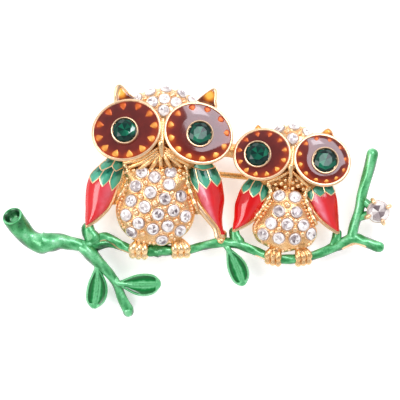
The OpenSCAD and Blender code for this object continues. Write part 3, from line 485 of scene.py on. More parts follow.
# A table's path and radii: X and Y in branch lengths, and Z so that the tube lies on the back, less its sink
def branchRows(table, size, steps):
    r = curve(table, steps)
    sink = r[:, 3] if r.shape[1] > 3 else 0
    radius = r[:, 2] * size
    return np.c_[r[:, :2] * branch["length"], (1 - sink) * backZ + radius], radius


limbPath, limbRadius = branchRows(branch["limbRows"], branch["limb"], 181)


# The limb's middle line over X, in Y
def limbY(x):
    return np.interp(x, limbPath[:, 0], limbPath[:, 1])


# The same in Z
def limbZ(x):
    return np.interp(x, limbPath[:, 0], limbPath[:, 2])


# Long ridges along a tube, which swing round it: 1 + h r, r = sin(3 a + 4 t) + sin(5 a - 9 t) / 2
def ridged(grid, height, turns):
    m, n = grid.shape[:2]
    t = np.linspace(0, turns, m)[:, None]
    a = circle(n)[None]
    centre = grid.mean(1, keepdims=True)
    ridge = np.sin(3 * a + 4 * t) + 0.5 * np.sin(5 * a - 9 * t)
    swell = 1 + height * (ridge + 0.6 * np.sin(2.3 * t + 1))
    return centre + (grid - centre) * swell[..., None], ridge / 3 + 0.5


# Marks of a tube: x where its lower edge is worn, y painted shade where a point faces aside or down, z its
# ridge
def lacquerMarks(grid, ridge, worn=()):
    out = unit(grid - grid.mean(1, keepdims=True))
    x = grid[..., 0]
    bare = sum((step(x, a, a + 1) * (1 - step(x, b - 1, b)) for a, b in worn), 0 * x)
    edge = step(-out[..., 1] + 0.1 * out[..., 2], 0.45, 0.8) * bare
    # painted shade: darker where the surface faces aside or down
    dark = 1 - 0.7 * step(out[..., 2], 0.1, 0.97) - 0.3 * step(out[..., 1] - 0.5 * out[..., 0], -0.9, 0.7)
    return trio(edge, dark, ridge)


# A rippled tube of the casting: flat lowers its height over the back, shade and dip darken it as painted
# shade
def addLimb(casting, path, radius, turns, ripple=branch["ripple"], worn=(), shade=0.0, dip=0.0, flat=1.0):
    grid, ridge = ridged(tube(path, radius, 26), ripple, turns)
    marks = lacquerMarks(grid, ridge, worn)
    grid[..., 2] = mix(backZ, grid[..., 2], flat)
    marks[..., 1] += shade + dip * bell(grid[..., 0], branch["hollow"]["x"], branch["hollow"]["darkWide"])
    casting.add(grid, marks)


# The stump: up its hollow from the floor, over the lip and along the outside. Its mouth is turned frontwards
def addStump(casting):
    path, radius = branchRows(branch["stumpRows"], branch["stump"], 90)
    folds = sum(amount * bell(path[:, 0], x, branch["foldWide"]) for x, amount in branch["folds"])
    radius = radius * (1 + folds)
    out = unit(path[0] - path[4])
    mouth = np.array(branch["mouth"])
    inside = len(mouth)
    path = np.vstack([path[0] + np.outer(mouth[:, 0], out), path])
    radius = np.concatenate([mouth[:, 1] * radius[0], radius])
    head = unit(np.vstack([np.tile(-out, (inside + 1, 1)), np.diff(path[inside:], axis=0)]))
    turn = 1 - step(np.arange(len(head)), inside, 30)
    head = unit(head - branch["mouthTurn"] * turn[:, None] * [0, 0, 1])
    side = unit(np.cross([0, 0, 1], head))
    grid = rings(path, radius * (1 + branch["mouthFlare"] * turn), side, np.cross(head, side), 40)
    grid[inside + 1:], ridge = ridged(grid[inside + 1:], branch["stumpRipple"], 4)
    marks = lacquerMarks(grid, np.vstack([np.tile(ridge[0], (inside + 1, 1)), ridge]))
    # painted shade inside the hollow
    marks[:inside, :, 1] = mouth[:, 2:]
    casting.add(grid, marks)


# The stub under a wing's tip, from the limb up to the tip, thinning from its foot
def addStub(casting, owl, side, reach, foot):
    tip = onBrooch(owl, wingXy(owl, side, np.array(1.0), np.array(0.5)))
    x = tip[0] + reach
    # shares of the way in X and Y, and the radius as a share of the foot's
    k = np.array([[0, 0, 1], [0.3, 0.3, 0.94], [0.55, 0.6, 0.87], [0.7, 1, 0.82]])
    radius = k[:, 2] * foot
    y = mix(limbY(x) + 0.35 * foot, tip[1], k[:, 1])
    rows = curve(np.c_[mix(x, tip[0], k[:, 0]), y, backZ + radius, radius], 14)
    # the stub painted a little in shade
    addLimb(casting, rows[:, :3], rows[:, 3], turns=0.7, shade=0.2, flat=0.78)


# The whole casting: limb, twigs, stump, stubs, the arms of the stone's setting and the leaves
def makeBranch():
    casting = Casting()
    x, hollow = limbPath[:, 0], branch["hollow"]
    swell = 1 + hollow["swell"] * bell(x, hollow["x"], hollow["swellWide"]) * (1 + 0.4 * np.sin(4.6 * x))
    more, start, full = branch["rightSwell"]
    swell = swell + more * step(x, start, full)
    addLimb(casting, limbPath, limbRadius * swell, 16, worn=branch["worn"], shade=0.1, dip=hollow["dark"])
    under = curve(branch["under"], 40)
    # the tube under the fork, in painted shade
    addLimb(casting, under[:, :3], under[:, 3], 3, shade=0.45)
    for name, (turns, size, ripple) in branch["twigs"].items():
        addLimb(casting, *branchRows(branch[name], branch["limb"] * size, 60), turns, ripple)
    addStump(casting)
    for stub in stubs:
        addStub(casting, *stub)
    for t in branch["arms"]:
        p = twigSpot(t)
        path = np.array([[*p, backZ + branch["limb"]], [*mix(p, stoneSpot(), 0.5), backZ + 0.8]])
        addLimb(casting, curve(path, 8), np.linspace(0.62, 0.7, 8), 1)
    for k in range(len(leaf["rows"])):
        addLeaf(casting, k)
    makePiece("branchCasting", casting, finishes["lacquer"], ["branch"])


# leaves

leaf = {
    "width": 3.6, "thick": 1.2, "pool": 0.42, "rim": 0.42, "vein": 0.34, "names": ("low", "side", "mid"),
    # stem X, Y, base X, Y, tip X, Y, width as a share of the widest, bend, sink at the base and at the tip
    "rows": [[-0.258, -0.158, -0.262, -0.172, -0.272, -0.281, 0.94, 0.045, 0.15, 0.62],
             [-0.216, -0.205, -0.207, -0.215, -0.097, -0.216, 1, -0.03, 0.45, 0.40],
             [0.070, -0.112, 0.076, -0.124, 0.117, -0.221, 0.88, 0.03, 0.03, 0.25]],
    # half width from base to tip, before its end is rounded
    "outline": [0.24, 0.52, 0.82, 0.99, 1.0, 0.86, 0.62],
    "stem": [(0.0, 0.5), (0.12, 0.36), (0.3, 0.25)],       # how far up the leaf the stem runs, and its radius
    # the pools: where they run from and to, how far they lie under the leaf's top, their dish and thickness
    "poolRun": (0.13, 0.875), "poolDrop": 0.12, "dish": 0.10, "poolThick": 0.22,
}


# Half the leaf's width at t: the outline's table times sqrt(1 - ((t - 0.78) / 0.225)^2) past t = 0.78
def leafHalf(k, t):
    end = np.sqrt(np.clip(1 - (np.clip(t - 0.78, 0, 1) / 0.225) ** 2, 0, 1))
    return leaf["width"] / 2 * leaf["rows"][k][6] * along([[w] for w in leaf["outline"]], t)[..., 0] * end


# A point of leaf k: t from base to tip, s from side to side, lift over its underside; the sides curl up
def leafPoint(k, t, s, lift):
    row = leaf["rows"][k]
    base, tip = (np.array(row[i:i + 2]) * branch["length"] for i in (2, 4))
    run = tip - base
    length = math.hypot(*run)
    side = np.array([-run[1], run[0]]) / length
    across = (2 * s - 1) * leafHalf(k, t) + row[7] * length * np.sin(np.pi * t)
    xy = base + t[..., None] * run + across[..., None] * side
    return raised(xy, (1 - mix(row[8], row[9], t)) * backZ + 0.2 * (2 * s - 1) ** 2 * leaf["thick"] + lift)


# How deep the pool is at t, s: 1 between the rim and the vein, 0 on them
def poolShare(k, t, s):
    across = np.abs(2 * s - 1) * leafHalf(k, t)
    edge = leafHalf(k, t) - across
    ends = step(t, 0.10, 0.20) * (1 - step(t, 0.82, 0.90))
    inside = step(edge, leaf["rim"] * 0.7, leaf["rim"] * 1.2)
    return inside * step(across, leaf["vein"] * 0.6, leaf["vein"] * 1.2) * ends


# The leaf: over its top, with the pools sunk either side of the vein, and back under it. Then its stem
def addLeaf(casting, k):
    row, n = leaf["rows"][k], 41
    top = (1 - np.cos(np.linspace(0, np.pi, n))) / 2
    s = np.concatenate([top, top[-2:0:-4]])[None]
    over = 1.0 * (np.arange(s.size) < n)[None]
    t = np.linspace(0, 1, 60)[:, None]
    half, pool = leafHalf(k, t), poolShare(k, t, s)
    edge = half * (1 - np.abs(2 * s - 1))
    vein = 0.14 * (1 - step(np.abs(2 * s - 1) * half, 0, 0.35)) * (1 - 0.6 * t)
    crest = leaf["thick"] * (1 - 0.45 * (1 - step(edge, 0, 0.35)) ** 1.5)
    lift = over * (crest + vein - leaf["pool"] * pool) + (1 - over) * 0.25 * (1 - step(edge, 0, 0.4))
    # the lacquer painted in shade, darker in the sunk pools
    casting.add(leafPoint(k, t, s, lift), trio(0, 0.22 + 0.6 * pool, 0.62))
    x, y = (share * branch["length"] for share in row[:2])
    stem = [[x, y, (1 - row[8]) * backZ + leaf["thick"] * 0.6, 0.6]]
    for q, r in leaf["stem"]:
        stem.append([*leafPoint(k, np.array(q), np.array(0.5), leaf["thick"] - leaf["poolDrop"]), r])
    grid = rod(stem, 24, 16)
    casting.add(grid, lacquerMarks(grid, 0.7))


# The two pools of each leaf: over the top, dished by 0.1 sin(pi v), and back under it
def makePools():
    first, last = leaf["poolRun"]
    t = np.linspace(first, last, 40)[:, None]
    v = np.concatenate([np.linspace(0, 1, 15), np.linspace(1, 0, 7)[1:-1]])[None]
    over = 1.0 * (np.arange(v.size) < 15)[None]
    dip = leaf["dish"] * np.sin(np.pi * v) * np.sin(np.pi * (t - first) / (last - first))
    lift = leaf["thick"] - leaf["poolDrop"] - over * dip - (1 - over) * leaf["poolThick"]
    for k, name in enumerate(leaf["names"]):
        casting = Casting()
        width = leafHalf(k, t) * 2
        inner = leaf["vein"] * 0.8 / width
        outer = np.maximum(0.5 - leaf["rim"] * 0.85 / width, inner + 0.02)
        for side in (left, right):
            s = 0.5 + side * mix(inner, outer, v)
            # mark x: a painted highlight, palest beside the vein
            casting.add(leafPoint(k, t, s, lift), trio(0.15 + 0.85 * (1 - v) ** 2, 0, 0))
        makePiece("leafPool" + name.title(), casting, finishes["leaf"], ["leaf_enamel_" + name])


# the twig's stone and its setting

twig = {
    "stone": 3.5, "shown": 1.06, "girdle": backZ + 2, "at": 0.31, "prong": 0.38,
    "prongTurns": (25, 115, 205, 295),
    # the basket, from inside its foot up to the girdle and down inside: radius in stone radii, and height
    "basket": [[0.62, -2.0], [0.72, -1.9], [0.72, -1.2], [0.80, -0.8], [0.98, -0.25], [1.06, -0.1],
               [1.03, -0.02], [0.98, -0.06], [0.7, -0.6], [0.3, -1.2]],
}


# A spot on the tall twig's middle line
def twigSpot(t):
    return along(branch["tallTwig"], np.array(t))[:2] * branch["length"]


# The stone's middle, beside the twig
def stoneSpot():
    return twigSpot(twig["at"]) + [branch["limb"] + twig["stone"] * 0.5 + 0.58, 0.1]


# Facets of a round stone: rings of n points, each turned half a step on, from table to point
def brilliant(diameter, n=8):
    size, height = np.array([(0.58, 0.30), (0.84, 0.17), (1.0, 0.02), (1.0, -0.04), (0.52, -0.42),
                             (0.02, -0.72)]).T[..., None] * diameter / 2
    a = 2 * np.pi * (np.arange(n)[None] + np.arange(len(size))[:, None] / 2) / n
    return trio(size * np.cos(a), size * np.sin(a), height)


# Marks of a stone: x as given, y the distance out, as a share of its radius
def stoneMarks(bright, n=8):
    far = np.array([0.58, 0.84, 1, 1, 0.52, 0.02])[:, None] + np.zeros(n)
    return trio(bright, far, 0)


# The stone, its basket, a ring turned from the table's profile, and four prongs bent over its edge
def makeTwigStone():
    spot = np.array([*stoneSpot(), twig["girdle"]])
    stone = Casting().add(brilliant(twig["stone"] * twig["shown"], 10) + spot, stoneMarks(0.3, 10))
    makePiece("twigStone", stone, finishes["clear"], ["twig_stone"], facets=11)
    setting = Casting()
    r, p = twig["stone"] / 2, twig["prong"]
    size, z = np.array(twig["basket"]).T[..., None]
    setting.add(spun(size * r, z, 40) + spot, (0.4, 0.1, 0))
    line = curve([[r * 0.6, 0, -1.3], [r + p * 0.8, 0, -0.2], [r + p * 0.7, 0, 0.35], [r - 0.1, 0, 0.55]], 20)
    for turn in twig["prongTurns"]:
        prong = raised(turned(line, turn), line[:, 2]) + spot
        setting.add(tube(prong, np.linspace(p, p * 0.85, 20), 12), (0.9, 0, 0))
    makePiece("twigSetting", setting, finishes["rim"], ["twig_setting"])


# owls

owls = {
    "big": {
        "x": -6.24, "lean": 2.5, "faceX": -0.35, "eyeY": 19.1, "eyeGap": 11.5, "eyeD": 10.5, "eyeH": 4.8,
        "eyeRatio": 0.87, "eyeTurn": 22, "stoneShift": {left: 0.02, right: 0.02}, "chestX": -0.95,
        "chestW": 12.8, "chestH": 12.3, "chestEdge": 1.5, "chestRise": 3.0, "crownW": 1.1, "crownH": 0.435,
        "crownY": 0.174, "crownEdge": 0.8, "crownRise": 3.3, "wingL": 11.7, "wingW": 5.75, "wingEdge": 1.3,
        "wingRise": 1.5, "footX": 3.4, "toe": 0.52, "earH": 2.2,
        "seedTurn": {left: [18, 49, 80, 112, 145, 176, 204, 231, 260, 288, 317, 348],
            right: [28, 60, 93, 124, 158, 189, 219, 247, 272, 299, 329, 356]},
        "chest": [[0, 1.25], [0.80, 1.10], [0.78, 0.60], [0.92, 0.20], [1, -0.08], [0.93, -0.42],
            [0.76, -0.68], [0.42, -0.93], [0, -1]],
        "chestStones": [[-0.375, 0.90], [-0.05, 0.79], [0.345, 0.93], [-0.51, 0.54], [0.32, 0.62],
            [-0.14, 0.39], [0.62, 0.33], [0.225, 0.24], [-0.61, 0.145], [-0.265, 0.005], [0.075, -0.17],
            [0.455, -0.06], [0.755, -0.19], [-0.72, -0.225], [-0.40, -0.42], [-0.035, -0.555],
            [0.325, -0.465], [-0.565, -0.665], [0.645, -0.57], [0.20, -0.83]],
        "crownStones": [[-0.35, 0.84], [0.04, 0.945], [0.44, 0.83], [-0.67, 0.61], [0.70, 0.63],
            [-0.28, 0.53], [0.015, 0.64], [0.31, 0.54], [0.01, 0.27]],
        "strokes": [[-0.5, -2.6, -3.2, -4.45, -5.8, -5.2], [-0.6, -3.3, -2.7, -4.8, -5.0, -5.9],
            [-0.5, -3.6, -1.9, -4.9, -3.4, -6.1], [-0.3, -3.7, -1.0, -5.0, -1.6, -6.0],
            [-0.1, -3.7, -0.1, -4.8, 0.0, -5.7], [0.3, -3.6, 0.9, -4.6, 1.5, -5.6],
            [0.5, -3.4, 1.9, -4.4, 3.1, -5.4], [0.6, -3.1, 2.6, -4.2, 4.3, -5.1],
            [0.4, -2.5, 2.6, -3.7, 4.8, -4.6]],
        "grains": [[3.0, -6.1, 0.4], [3.7, -6.5, 0.38], [3.1, -7.0, 0.38], [3.7, -7.4, 0.36],
            [2.8, -7.7, 0.36], [0.3, -6.2, 0.36], [0.2, -7.0, 0.32], [-1.4, -6.1, 0.34],
            [-4.3, -6.4, 0.34]],
        "frames": {left: [[-5.8, -5.4], [-5.3, -6.26], [-5.0, -7.22], [-5.2, -8.38], [-5.75, -9.54],
            [-6.5, -10.9]],
            right: [[3.9, -5.1], [4.1, -6.32], [4.2, -7.62], [4.7, -9.07], [5.3, -10.52], [6.0, -12.2]]},
        "seats": {left: [0.86, 0.41, 1.00, 1],
            right: [0.81, 0.41, 1.05, 1]},
        "wings": {left: [[0.42, -0.05], [0.65, -0.05], [0.88, -0.02], [0.97, 0.05], [1, 0.13], [1, 0.22],
            [0.99, 0.37], [0.99, 0.62], [0.98, 0.94]],
            right: [[0.62, -0.05], [0.78, -0.05], [0.90, 0], [0.96, 0.10], [1, 0.22], [0.98, 0.38],
            [0.97, 0.60], [1.01, 0.82], [1.12, 0.90]]},
        # inner and outer side, top and bottom of each feather, and 1 where the red starts below it
        "feathers": {left: [[0.03, 0.35, 0.06, 0.47, 1], [0.34, 0.68, 0.06, 0.42, 1],
            [0.67, 1.01, 0.06, 0.38, 1], [0.04, 0.50, -0.02, 0.20, 0], [0.50, 0.99, -0.02, 0.20, 0]],
            right: [[0.03, 0.27, 0.04, 0.42, 1], [0.26, 0.66, 0.04, 0.37, 1], [0.65, 1.01, 0.04, 0.33, 1],
            [0.04, 0.98, -0.02, 0.13, 0]]},
        "webs": {left: 0.66, right: 0.71},
    },
    "small": {
        "x": 14.4, "lean": 5.4, "faceX": -1, "eyeY": 16.4, "eyeGap": 9.62, "eyeD": 8.5, "eyeH": 4.3,
        "eyeRatio": 0.905, "eyeTurn": 18, "stoneShift": {left: 0.085, right: 0.05}, "chestX": -1,
        "chestW": 10.5, "chestH": 9.3, "chestEdge": 1.4, "chestRise": 2.6, "crownW": 1.0, "crownH": 0.41,
        "crownY": 0.125, "crownEdge": 0.7, "crownRise": 2.8, "wingL": 8.1, "wingW": 5.6, "wingEdge": 1.2,
        "wingRise": 1.4, "footX": 2.46, "toe": 0.45, "earH": 1.9,
        "seedTurn": {left: [28, 59, 90, 122, 155, 187, 216, 242, 270, 299, 329, 358],
            right: [27, 60, 92, 125, 156, 190, 219, 246, 275, 301, 327, 357]},
        "chest": [[0, 1.40], [0.40, 1.25], [0.52, 0.86], [0.69, 0.50], [0.90, 0.11], [1, -0.15],
            [0.93, -0.45], [0.70, -0.70], [0, -0.95]],
        "chestStones": [[-0.27, 1.00], [0.205, 1.00], [-0.24, 0.47], [0.285, 0.49], [-0.44, 0.025],
            [0.045, 0.045], [0.535, 0.06], [-0.65, -0.375], [-0.17, -0.45], [0.32, -0.43], [0.80, -0.21]],
        "crownStones": [[-0.49, 0.76], [-0.01, 0.92], [0.44, 0.74], [-0.04, 0.43]],
        "strokes": [[-0.3, -2.4, -1.9, -3.5, -3.4, -4.3], [0.3, -2.4, 1.6, -3.3, 2.8, -4.3],
            [0.0, -2.6, 0.0, -3.5, 0.0, -4.5]],
        "grains": [[-2.7, -3.9, 0.36], [-2.2, -4.6, 0.32], [-1.7, -3.6, 0.36], [-1.3, -4.4, 0.4],
            [-0.7, -3.8, 0.36], [-0.6, -4.9, 0.34], [0.5, -4.1, 0.36], [0.6, -5.0, 0.34], [1.1, -3.6, 0.38],
            [1.4, -4.5, 0.4], [2.0, -4.1, 0.34], [2.3, -4.9, 0.32], [-3.1, -4.9, 0.3], [-1.9, -5.3, 0.28],
            [2.9, -4.9, 0.3]],
        "frames": {left: [[-3.3, -4.6], [-2.9, -5.6], [-2.9, -6.6], [-3.4, -7.8], [-4.1, -9.0],
            [-4.9, -10.3]],
            right: [[3.1, -4.6], [2.7, -5.6], [2.9, -6.6], [3.5, -7.8], [4.1, -9.0], [4.9, -10.3]]},
        "seats": {left: [0.61, 0.45, 1.11, 0.91],
            right: [0.50, 0.45, 0.95, 1.09]},
        "wings": {left: [[0.62, -0.05], [0.78, -0.05], [0.89, -0.04], [0.95, 0], [1, 0.08], [1, 0.20],
            [0.99, 0.34], [1.01, 0.60], [1.02, 0.97]],
            right: [[0.70, -0.05], [0.78, -0.04], [0.84, 0.01], [0.88, 0.07], [0.91, 0.18], [0.94, 0.30],
            [0.96, 0.46], [0.99, 0.68], [1.02, 0.96]]},
        "feathers": {left: [[0.03, 0.32, -0.02, 0.42, 1], [0.31, 0.70, -0.02, 0.355, 1],
            [0.69, 1.01, -0.02, 0.30, 1]],
            right: [[0.03, 0.28, -0.02, 0.38, 1], [0.27, 0.67, -0.02, 0.27, 1],
            [0.66, 1.01, -0.02, 0.22, 1]]},
        "webs": {left: 0.78, right: 0.78},
    },
}
stoneSizes = {"chest": 1.85, "crown": 1.75, "eye": 3.8, "overDome": 0.12, "shown": 1.08}
# the stubs under wing tips: owl, side, how far the foot stands from the tip in X, and its radius
stubs = [("big", left, 1.1, 1.25), ("small", left, 0.9, 1.0), ("small", right, -0.5, 0.9)]


# From an owl's own axes, X and Y from its perch on the limb, to the brooch's
def onBrooch(owl, points):
    o = owls[owl]
    points = np.asarray(points, float)
    xy = turned(points[..., :2], -o["lean"]) + [o["x"], float(limbY(o["x"]))]
    return np.concatenate([xy, points[..., 2:]], -1)


# wings

wing = {
    "rim": 0.3, "wire": 0.1, "lift": 0.1,
    # the band along the inner edge: its radius, and its place between the sides
    "band": (0.2, 0.04), "bands": {("big", right): (0.55, -0.07), ("small", right): (0.28, 0.02)},
    # the painted sheen on each red field, a painted reflection: how strong, where between its sides and how
    # wide
    "sheen": {("big", left): (0.3, 0.3, 0.35), ("big", right): (0.8, 0.3, 0.17),
              ("small", left): (0.0, 0.3, 0.2), ("small", right): (0.75, 0.35, 0.15)},
}


# t from shoulder to tip, s from the inner to the outer edge: x = seat + width mix(inner, outer, s), y falls
# with t
def wingXy(owl, side, t, s):
    o = owls[owl]
    seat, edge = o["seats"][side], along(o["wings"][side], t)
    out = seat[0] * o["chestW"] / 2 + o["wingW"] * seat[3] * mix(edge[..., 1], edge[..., 0], s)
    y = o["eyeY"] - seat[1] * o["eyeD"] - o["wingL"] * seat[2] * t
    return np.stack(np.broadcast_arrays(o["chestX"] + side * out, y), -1)


# The surface rises as sin(pi s)^0.7, less at the shoulder and the tip
def wingPoint(owl, side, t, s, lift):
    o = owls[owl]
    bulge = np.clip(np.sin(np.pi * s), 0, 1) ** 0.7 * np.sqrt(np.sin(np.pi * mix(0.12, 0.96, t)))
    return raised(wingXy(owl, side, t, s), backZ + o["wingEdge"] + o["wingRise"] * bulge + lift)


# The wing's width at t
def wingSpan(owl, side, t):
    return abs(wingXy(owl, side, t, 1.0)[..., 0] - wingXy(owl, side, t, 0.0)[..., 0])


# A feather's outline from its top round its foot: half width (1 - v^16)^(1/2) above and, below,
# 1 - ((v - 0.3) / 0.7)^1.4
def featherLine(owl, side, f, inset, n=60):
    o = owls[owl]
    dt = inset / (o["wingL"] * o["seats"][side][2])
    ds = inset / float(wingSpan(owl, side, np.array((f[2] + f[3]) / 2)))
    v = -np.cos(np.linspace(0, np.pi, n))
    w = np.where(v < 0, (1 - np.abs(v) ** 16) ** 0.5, 1 - np.clip((v - 0.3) / 0.7, 0, 1) ** 1.4)
    t = mix(f[2] + dt, f[3] - dt, (v + 1) / 2)
    half, mid = (f[1] - f[0]) / 2 - ds, (f[0] + f[1]) / 2
    return np.concatenate([t, t[-2:0:-1]]), np.concatenate([mid + w * half, (mid - w * half)[-2:0:-1]])


# A pillow of enamel under an outline: lift + swell (1 - share^2)^0.6 from edge to middle
def pillow(owl, side, t, s, lift, swell):
    share = np.concatenate([[1, 1], np.cos(np.linspace(0.15, np.pi / 2 - 0.06, 9))])[:, None]
    height = np.concatenate([[-0.35, lift], lift + swell * (1 - share[2:, 0] ** 2) ** 0.6])[:, None]
    ct, cs = t.mean(), s.mean()
    return wingPoint(owl, side, ct + share * (t - ct), cs + share * (s - cs), height)


# The red field, from under the feathers to the tip. At e from its inner edge it swells by
# 0.1 step(e, 0, 0.9)^0.7 + 0.1 step(e, 0, 0.25)
def addRed(casting, owl, side):
    top = min(mix(f[2], f[3], 0.55) for f in owls[owl]["feathers"][side] if f[4] == 1) - 0.05
    s0 = np.linspace(0, 1, 45)[None]
    v = np.linspace(0, 1, 50)[:, None]
    t = mix(top, 0.955, v)
    span = wingSpan(owl, side, t)
    s = mix(np.minimum(wing["rim"] / span, 0.35), 1.01, s0)
    swell = 0.10 * step(s0 * span, 0, 0.9) ** 0.7 + 0.10 * step(s0 * span, 0, 0.25)
    upper = wingPoint(owl, side, t, s, swell - 0.10)
    lower = wingPoint(owl, side, t, s, -0.5)[:, ::-1][:, 4:-4:6]
    share, at, wide = wing["sheen"][owl, side]
    # the painted sheen: a pale pink painted reflection on the field
    sheen = share * bell(s, at, wide) * step(v, 0.02, 0.25) * (1 - step(v, 0.6, 0.95))
    casting.add(onBrooch(owl, np.concatenate([upper, lower], 1)),
                np.concatenate([trio(v, s, sheen), np.zeros(lower.shape)], 1))


# The wing's gold under the enamels with its band and wires, then the feathers and the red field
def makeWings(owl):
    t = np.linspace(0, 1, 70)[:, None]
    s = (1 - np.cos(np.linspace(0, np.pi, 25)))[None] / 2 * 0.985
    lineT = np.linspace(0.25, 0.985, 80)
    for side, name in bothSides:
        gold, feathers, red = Casting(), Casting(), Casting()
        lower = wingPoint(owl, side, t, s, 0)[:, ::-2]
        lower[..., 2] = backZ
        grid = np.concatenate([wingPoint(owl, side, t, s, -0.02), lower], 1)
        gold.add(onBrooch(owl, grid), (0.6, 0.25, 0))
        band, at = wing["bands"].get((owl, side), wing["band"])
        line = wingPoint(owl, side, lineT, np.full(80, at), -0.02)
        grid = tube(line, band * (0.8 + 0.3 * lineT), 16, flat=min(1, 0.3 / band))
        gold.add(onBrooch(owl, grid), (1, 0, 0))
        for f in owls[owl]["feathers"][side]:
            lift = wing["lift"] * (2 - f[4])
            outline = wingPoint(owl, side, *featherLine(owl, side, f, 0.02), lift)
            gold.add(onBrooch(owl, wire(outline, wing["wire"])), (1, 0, 0), True)
            edgeT, edgeS = featherLine(owl, side, f, 0.06)
            down = (edgeT - edgeT.min()) / (edgeT.max() - edgeT.min())
            feathers.add(onBrooch(owl, pillow(owl, side, edgeT, edgeS, lift, 0.12)), trio(down, 0, 0))
        addRed(red, owl, side)
        end = name.title()
        makePiece(f"{owl}WingWires{end}", gold, finishes["rim"])
        makePiece(f"{owl}Feathers{end}", feathers, finishes["feather"], [f"{owl}_feather_enamel_{name}"])
        makePiece(f"{owl}Red{end}", red, finishes["wing"], [f"{owl}_wing_enamel_{name}"])


# eyes

eye = {
    "tilt": 12, "dome": {left: 0.08, right: 0.3}, "stoneLift": 0.5,
    # the seeds: how far out, half length and half width, and size by owl
    "seedAt": 0.845, "seed": (0.56, 0.42), "seedSize": {"big": 1.22, "small": 0.86},
    # outwards and along the eye's axis: the bowl's lip from the enamel's edge, the collar from the stone's
    "lip": [[0.34, -0.75], [0.42, -0.45], [0.45, -0.25], [0.42, -0.08], [0.32, 0.04], [0.18, 0.08],
            [0.05, 0.05], [-0.03, -0.05], [-0.06, -0.3]],
    "collar": [[0.30, -0.5], [0.30, 0.45], [0.26, 0.60], [0.18, 0.66], [0.09, 0.64], [0.03, 0.55],
               [0.0, 0.2]],
}


# The eye's middle and its axes: along the long axis, across it and out of it
def eyeAxes(owl, side):
    o = owls[owl]
    turn, tilt = math.radians(side * o["eyeTurn"]), math.radians(eye["tilt"])
    long = np.array([math.cos(turn), -math.sin(turn), 0])
    short = np.array([math.sin(turn) * math.cos(tilt), math.cos(turn) * math.cos(tilt), -math.sin(tilt)])
    middle = np.array([o["faceX"] + side * o["eyeGap"] / 2, o["eyeY"], backZ + o["eyeH"]])
    return middle, np.array([long, short, np.cross(long, short)])


# Half the enamel's long and short axes
def eyeHalves(owl):
    half = owls[owl]["eyeD"] / 2
    return half, half * owls[owl]["eyeRatio"]


# Points in the eye's own axes, placed on the brooch
def onEye(owl, side, local):
    middle, axes = eyeAxes(owl, side)
    return onBrooch(owl, middle + local @ axes)


# Rings in the eye's plane: (at x + a cos g, at y + b sin g, lift)
def eyeRings(owl, side, a, b, lift, at=(0, 0), n=96):
    g = circle(n)[None]
    a, b, lift = (np.asarray(x, float).reshape(-1, 1) for x in (a, b, lift))
    return onEye(owl, side, trio(at[0] + a * np.cos(g), at[1] + b * np.sin(g), lift))


# Where the stone sits in the eye's plane
def stoneAt(owl, side):
    o = owls[owl]
    return turned(np.array([side * o["stoneShift"][side], -0.02]) * o["eyeD"], side * o["eyeTurn"])


# The bowl: from the flat back up to the rim, over its lip and down inside
def addBowl(casting, owl, side):
    long, short = eyeHalves(owl)
    inset = np.array([0.2, 0.06]) * owls[owl]["eyeD"]
    foot = eyeRings(owl, side, long - inset, short - inset, [0, 0])
    foot[..., 2] = mix(backZ, foot[..., 2], np.array([0, 0.42])[:, None])
    out, height = np.array(eye["lip"]).T
    bowl = eyeRings(owl, side, long + out, short + out, height)
    polishAndHighlight = np.concatenate([[0.1, 0.3, 0.6], np.ones(len(out) - 1)])[:, None]
    casting.add(np.concatenate([foot, bowl]), trio(polishAndHighlight, 0, 0))


# The enamel, from the rim (share 1) to under the stone: dome (1 - share^2), shifted to stay round the stone
def addEyeEnamel(casting, owl, side):
    long, short = eyeHalves(owl)
    r = stoneSizes["eye"] / 2
    share = np.linspace(1, 0.36, 22)
    dome = -0.10 + eye["dome"][side] * (1 - share**2)
    disc = eyeRings(owl, side, mix(r, long, share), mix(r, short, share), dome)
    shift = (stoneAt(owl, side) @ eyeAxes(owl, side)[1][:2])[None, None] * (1 - share)[:, None, None]
    disc = disc + raised(turned(shift, -owls[owl]["lean"]), 0)
    g = circle(96)[None]
    share = np.concatenate([[1], share])[:, None]
    seeds = np.radians(owls[owl]["seedTurn"][side])
    apart = np.abs((g[..., None] - seeds + np.pi) % (2 * np.pi) - np.pi).min(-1)
    glow = bell(apart, 0, 0.13) * step(share, 0.5, 0.85)
    casting.add(np.concatenate([disc[[0]] - [0, 0, 0.4], disc]), trio(share, glow, share * np.sin(g)))


# The seeds: half balls, widest outside and pointed towards the stone, tangent x (1 + 0.6 cos p)
def addSeeds(casting, owl, side):
    long, short = eyeHalves(owl)
    q = np.cos(np.linspace(0.0, 1.5, 6))[:, None]
    p = circle(16)[None]
    top = np.sqrt(1 - q**2)
    height = eye["dome"][side] * (1 - eye["seedAt"]**2) - 0.13 + 0.12 * top
    reach, width = (q * half * eye["seedSize"][owl] for half in eye["seed"])
    for turn in np.radians(owls[owl]["seedTurn"][side]):
        c = eye["seedAt"] * np.array([long * math.cos(turn), short * math.sin(turn)])
        outward = c / np.hypot(*c)
        across = np.array([-outward[1], outward[0]])
        radial, tangent = reach * np.cos(p), width * np.sin(p) * (1 + 0.6 * np.cos(p))
        flat = c + radial[..., None] * outward + tangent[..., None] * across
        casting.add(onEye(owl, side, raised(flat, height)), trio(top, math.sin(turn), 0))


# The green stone, painted lighter below. One has a painted reflection of a window on its side
def addEyeStone(casting, owl, side):
    grid = brilliant(stoneSizes["eye"])
    marks = stoneMarks(0)
    marks[..., 0] = 0.45 - 0.35 * grid[..., 1] / (stoneSizes["eye"] / 2)
    if owl == "big" and side == left:
        marks[:2, :, 0] += 4.0 * bell(np.arctan2(grid[:2, :, 1], grid[:2, :, 0]), -0.5, 0.3)
    casting.add(onEye(owl, side, grid + [*stoneAt(owl, side), eye["stoneLift"]]), marks)


